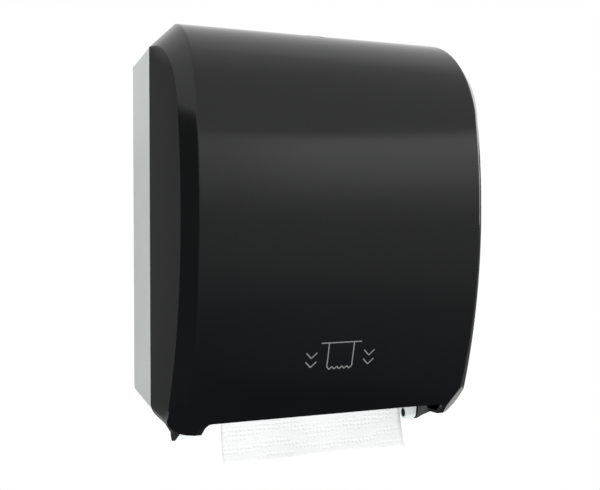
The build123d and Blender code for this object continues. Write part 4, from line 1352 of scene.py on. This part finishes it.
@dataclass(frozen=True)
class Screws:
    """Pan-head screws with cross recesses, on the feet at the back wall and on the keeper."""

    head_radius: float = 0.0036
    head_height: float = 0.0022
    rim: float = 0.0010                    # straight part of the head's edge
    crown_radius: float = 0.0020           # flat middle of the head
    shank_radius: float = 0.0016
    lead: float = 0.0006                   # bevel at the shank's end
    recess_reach: float = 0.0019
    recess_half: float = 0.00045
    recess_depth: float = 0.0012
    turns: tuple[float, ...] = (12.0, 58.0, 33.0, 81.0)    # degrees, how each recess stands
    crown_steps: int = 6
    sides: int = 32

    def profile(self, length: float) -> list[Point2]:
        """Outline of one screw.

        Args:
            length: Whole length of the screw.

        Returns:
            Points as (distance from the shank's end, radius).
        """
        under = length - self.head_height
        line = [(0.0, self.shank_radius - self.lead), (self.lead, self.shank_radius),
                (under, self.shank_radius), (under, self.head_radius)]
        for i in range(self.crown_steps + 1):
            turn = radians(90 * i / self.crown_steps)
            line.append((under + self.rim + (self.head_height - self.rim) * sin(turn),
                         self.crown_radius + (self.head_radius - self.crown_radius) * cos(turn)))
        return line

    def cross(self, turn: float) -> list[Point2]:
        """Outline of the cross recess.

        Args:
            turn: Degrees that it is turned by.

        Returns:
            Corners about its own middle.
        """
        far, near = self.recess_reach, self.recess_half
        corners = []
        for quarter in range(4):
            angle = radians(turn + 90 * quarter)
            for u, v in ((far, -near), (far, near), (near, near)):
                corners.append((u * cos(angle) - v * sin(angle), u * sin(angle) + v * cos(angle)))
        return corners

    def fasten(self, node: str, places: Sequence[Vector], out: Vector, length: float, view: View) -> Piece:
        """Build the screws of one node.

        Args:
            node: Node that they stand for.
            places: Ends of their shanks.
            out: Direction from the shank to the head.
            length: Whole length of a screw.
            view: Plane across the screws.

        Returns:
            The screws, as one piece.
        """
        profile = self.profile(length)
        across = out.orthogonal().normalized()
        third = out.cross(across)
        points: list[Vector] = []
        faces: list[list[int]] = []
        for place in places:
            first = len(points)
            for distance, radius in profile:
                points += ring(place + out * distance, across, third, radius, self.sides)
            faces += grid_faces(len(profile), self.sides, first, closed=True)
            last = len(points) - self.sides
            faces += [list(range(first, first + self.sides)), list(range(last, len(points)))]
        piece = new_piece(f"pan_head_{node}", points, faces)
        for place, turn in zip(places, self.turns):
            head = place + out * length
            u, v, along = (head.x, head.z, head.y) if view is View.FRONT else (head.x, head.y, head.z)
            outline = [(u + a, v + b) for a, b in self.cross(turn)]
            inward = -self.recess_depth * (out.y + out.z)
            carve(piece, prism("recess", outline, view, along - inward, along + inward), Cut.REMOVE)
        dress(smooth(piece), "steel")
        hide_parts(node)
        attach(piece, "housing")
        return piece

    def build(self) -> list[Piece]:
        """Build the screws of the side frames, the arms and the keeper.

        Returns:
            One piece for each node.
        """
        edge = self.head_radius
        pieces = []
        for node in ("frame_screws", "arm_screws"):
            low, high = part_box(node)
            places = [Vector((x, high.y, z)) for x in (low.x + edge, high.x - edge)
                      for z in (low.z + edge, high.z - edge)]
            pieces.append(self.fasten(node, places, Vector((0, -1, 0)), high.y - low.y, View.FRONT))
        low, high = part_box("keeper_screws")
        places = [Vector(((low.x + high.x) / 2, y, high.z)) for y in (low.y + edge, high.y - edge)]
        length = high.z - low.z
        pieces.append(self.fasten("keeper_screws", places, Vector((0, 0, -1)), length, View.PLAN))
        return pieces


class TentZone(Enum):
    """Sides of the reflecting tent, each with its stops as (degrees above the horizon, glow)."""

    FRONT = ((-90, 0.02), (-52, 0.03), (-43, 0.10), (-34, 0.15), (-25, 0.20), (-17, 0.34), (-9, 0.43),
             (-2, 0.49), (4, 0.70), (11, 1.20), (15.5, 1.45), (19.4, 1.52), (20.6, 0.74), (60, 0.74),
             (85, 0.93))
    FRONT_LEFT = ((-90, 0.02), (-52, 0.03), (-34, 0.12), (-25, 0.19), (-17, 0.31), (-9, 0.40), (-2, 0.43),
                  (4, 0.60), (11, 0.90), (15.5, 1.05), (19.8, 1.10), (21.0, 0.74), (60, 0.74), (85, 0.93))
    LEFT = ((-90, 0.02), (-45, 0.03), (-30, 0.09), (17.6, 0.10), (18.8, 0.80), (90, 0.95))
    REAR_LEFT = ((-90, 0.02), (-52, 0.03), (-46, 0.90), (-33, 0.90), (-29.5, 0.17), (19, 0.17), (28, 0.90),
                 (90, 0.90))
    REAR_RIGHT = ((-90, 0.05), (-45, 0.05), (-36, 0.50), (-26.5, 0.50), (-24, 0.10), (8, 0.10), (12, 1.0),
                  (90, 1.0))
    REAR = ((-90, 0.05), (-50, 0.05), (-44, 0.36), (-34, 0.36), (-31, 0.06), (8, 0.08), (12, 1.0),
            (90, 1.0))


@dataclass(frozen=True)
class Lamp:
    """A square soft lamp. Sizes are in metres, its power in watts."""

    name: str
    place: Point3
    size: float
    power: float
    reflected: bool = False                # whether glossy surfaces show it


@dataclass
class Studio:
    """Camera, plain soft light, a pale floor and a reflecting tent all around."""

    camera_place: Point3 = (-0.30265, -0.88211, -0.01252)
    camera_down: float = 1.323             # degrees
    camera_turn: float = 20.449            # degrees to the right
    focal_pixels: float = 795.97
    image_width: int = 600
    sensor: float = 36.0
    ambient: float = 0.92
    floor_level: float = -1.30
    floor_middle: Point2 = (0.0, -0.3)
    floor_radius: float = 1.7
    floor_sides: int = 60
    floor_thickness: float = 0.01
    floor_colour: tuple[float, ...] = (0.86, 0.86, 0.86, 1.0)
    floor_roughness: float = 0.8
    tent_radius: float = 1.25
    tent_low: float = -89.0                # degrees above the horizon
    tent_top: float = 89.0
    tent_rows: int = 178
    tent_columns: int = 180
    tent_zones: tuple[tuple[float, TentZone], ...] = (     # degrees from straight ahead to the right
        (-180, TentZone.REAR), (-158, TentZone.REAR), (-152, TentZone.REAR_LEFT),
        (-120, TentZone.REAR_LEFT), (-106, TentZone.LEFT), (-62, TentZone.LEFT),
        (-24, TentZone.FRONT_LEFT), (7, TentZone.FRONT_LEFT), (16.5, TentZone.FRONT),
        (70, TentZone.FRONT), (95, TentZone.REAR), (118, TentZone.REAR), (122, TentZone.REAR_RIGHT),
        (150, TentZone.REAR_RIGHT), (162, TentZone.REAR), (180, TentZone.REAR))
    lamps: tuple[Lamp, ...] = (
        Lamp("overhead", (0.0, -0.55, 1.45), 1.1, 1.0),
        Lamp("right", (1.15, -0.30, 0.21), 0.5, 4.0, reflected=True),
        Lamp("front_left", (-1.0, -1.3, 0.7), 0.7, 1.0),
        Lamp("front_low", (-0.14, -0.42, -0.60), 0.30, 2.70))
    lamp_aim: Point3 = (0.0, -0.1, 0.0)

    def camera(self) -> None:
        """Place the camera at the photograph's angle."""
        data = bpy.data.cameras.new("camera")
        data.sensor_width = self.sensor
        data.lens = self.focal_pixels * self.sensor / self.image_width
        camera = bpy.data.objects.new("camera", data)
        camera.location = self.camera_place
        camera.rotation_euler = (radians(90 - self.camera_down), 0, radians(-self.camera_turn))
        bpy.context.scene.collection.objects.link(camera)
        bpy.context.scene.camera = camera

    def world(self) -> None:
        """White surroundings for the camera and for reflections, softer light for the rest."""
        world = bpy.data.worlds.new("studio")
        bpy.context.scene.world = world
        world.use_nodes = True
        tree = world.node_tree
        tree.nodes.clear()
        seen = self.seen_rays(tree)
        soft = add_node(tree, "ShaderNodeBackground", Color=(1, 1, 1, 1), Strength=self.ambient)
        white = add_node(tree, "ShaderNodeBackground", Color=(1, 1, 1, 1), Strength=1.0)
        blend = add_node(tree, "ShaderNodeMixShader")
        tree.links.new(seen, blend.inputs["Fac"])
        tree.links.new(soft.outputs["Background"], blend.inputs[1])
        tree.links.new(white.outputs["Background"], blend.inputs[2])
        out = add_node(tree, "ShaderNodeOutputWorld")
        tree.links.new(blend.outputs["Shader"], out.inputs["Surface"])

    @staticmethod
    def seen_rays(tree: Tree) -> Socket:
        """Tell the rays that see white surroundings from the rest.

        Args:
            tree: Node tree of the world.

        Returns:
            Socket that is one for camera, glossy and transmission rays, else zero.
        """
        path = add_node(tree, "ShaderNodeLightPath")
        total = path.outputs["Is Camera Ray"]
        for name in ("Is Glossy Ray", "Is Transmission Ray"):
            total = add_math(tree, "MAXIMUM", total, path.outputs[name])
        return total

    def floor(self) -> None:
        """Pale round floor, as far below the dispenser as one usually hangs."""
        outline = circle(self.floor_middle, self.floor_radius, self.floor_sides)
        low = self.floor_level - self.floor_thickness
        floor = prism("floor", outline, View.PLAN, low, self.floor_level)
        material = bpy.data.materials.new("pale_floor")
        material.use_nodes = True
        shader = material.node_tree.nodes["Principled BSDF"]
        shader.inputs["Base Color"].default_value = self.floor_colour
        shader.inputs["Roughness"].default_value = self.floor_roughness
        floor.data.materials.append(material)

    @staticmethod
    def ramp(stops: Sequence[Point2], place: float) -> float:
        """Read a value between stops, straight from one to the next.

        Args:
            stops: Stops as (place, value), in order.
            place: Where to read.

        Returns:
            The value there.
        """
        for (a, low), (b, high) in zip(stops, stops[1:]):
            if place <= b:
                return low + (high - low) * max(0.0, (place - a) / (b - a))
        return stops[-1][1]

    def glow(self, turn: float, rise: float) -> float:
        """Brightness of the tent in a direction.

        Args:
            turn: Degrees from straight ahead of the dispenser to its right.
            rise: Degrees above the horizon.

        Returns:
            Strength of its glow.
        """
        around = [(place, self.ramp(zone.value, rise)) for place, zone in self.tent_zones]
        return self.ramp(around, turn)

    def tent(self) -> None:
        """Curved card that only reflections see: bright in front at head height, dark low down."""
        points, glow = [], []
        for i in range(self.tent_rows + 1):
            rise = self.tent_low + (self.tent_top - self.tent_low) * i / self.tent_rows
            for j in range(self.tent_columns + 1):
                turn = -180.0 + 360.0 * j / self.tent_columns
                level, side = radians(rise), radians(turn)
                way = Vector((cos(level) * sin(side), -cos(level) * cos(side), sin(level)))
                points.append(self.tent_radius * way)
                glow.append(self.glow(turn, rise))
        faces = grid_faces(self.tent_rows + 1, self.tent_columns + 1)
        tent = new_piece("reflecting_tent", points, faces)
        mark = tent.data.attributes.new("glow", "FLOAT", "POINT")
        mark.data.foreach_set("value", glow)
        material = bpy.data.materials.new("tent_glow")
        material.use_nodes = True
        tree = material.node_tree
        tree.nodes.clear()
        level = add_node(tree, "ShaderNodeAttribute")
        level.attribute_name = "glow"
        shine = add_node(tree, "ShaderNodeEmission", Strength=level.outputs["Fac"])
        out = add_node(tree, "ShaderNodeOutputMaterial")
        tree.links.new(shine.outputs["Emission"], out.inputs["Surface"])
        tent.data.materials.append(material)
        tent.visible_camera = False
        tent.visible_diffuse = False
        tent.visible_shadow = False
        tent.visible_transmission = False

    def lights(self) -> None:
        """Large soft lamps, each turned to the middle of the dispenser."""
        for lamp in self.lamps:
            data = bpy.data.lights.new(lamp.name, "AREA")
            data.shape = "SQUARE"
            data.size = lamp.size
            data.energy = lamp.power
            light = bpy.data.objects.new(lamp.name, data)
            light.location = lamp.place
            facing = Vector(self.lamp_aim) - Vector(lamp.place)
            light.rotation_euler = facing.to_track_quat("-Z", "Y").to_euler()
            light.visible_glossy = lamp.reflected
            light.visible_camera = False
            bpy.context.scene.collection.objects.link(light)

    def build(self) -> None:
        """Set up the studio."""
        self.camera()
        self.world()
        self.floor()
        self.tent()
        self.lights()
        bpy.context.scene.view_settings.view_transform = "Standard"


def dress_nodes(frame: dict) -> None:
    """Give every CAD node the finish of its slot in the record.
    """
    for part in frame["record"]["subparts"]:
        node = frame["nodes"][part["node"]]
        dress(node, part["material_slot"])
        LOG.info("node %s: %s", part["node"], part["material_slot"])


def main() -> None:
    """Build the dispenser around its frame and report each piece."""
    logging.basicConfig(level=logging.INFO, format="%(name)s %(message)s")
    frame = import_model()
    dress_nodes(frame)
    for assembly in (FrontCover(), Towel(), Springs(), Screws()):
        for piece in assembly.build():
            LOG.info("%s, %s: %d faces", type(assembly).__name__, piece.name, len(piece.data.polygons))
    Studio().build()


if __name__ == "__main__":
    main()
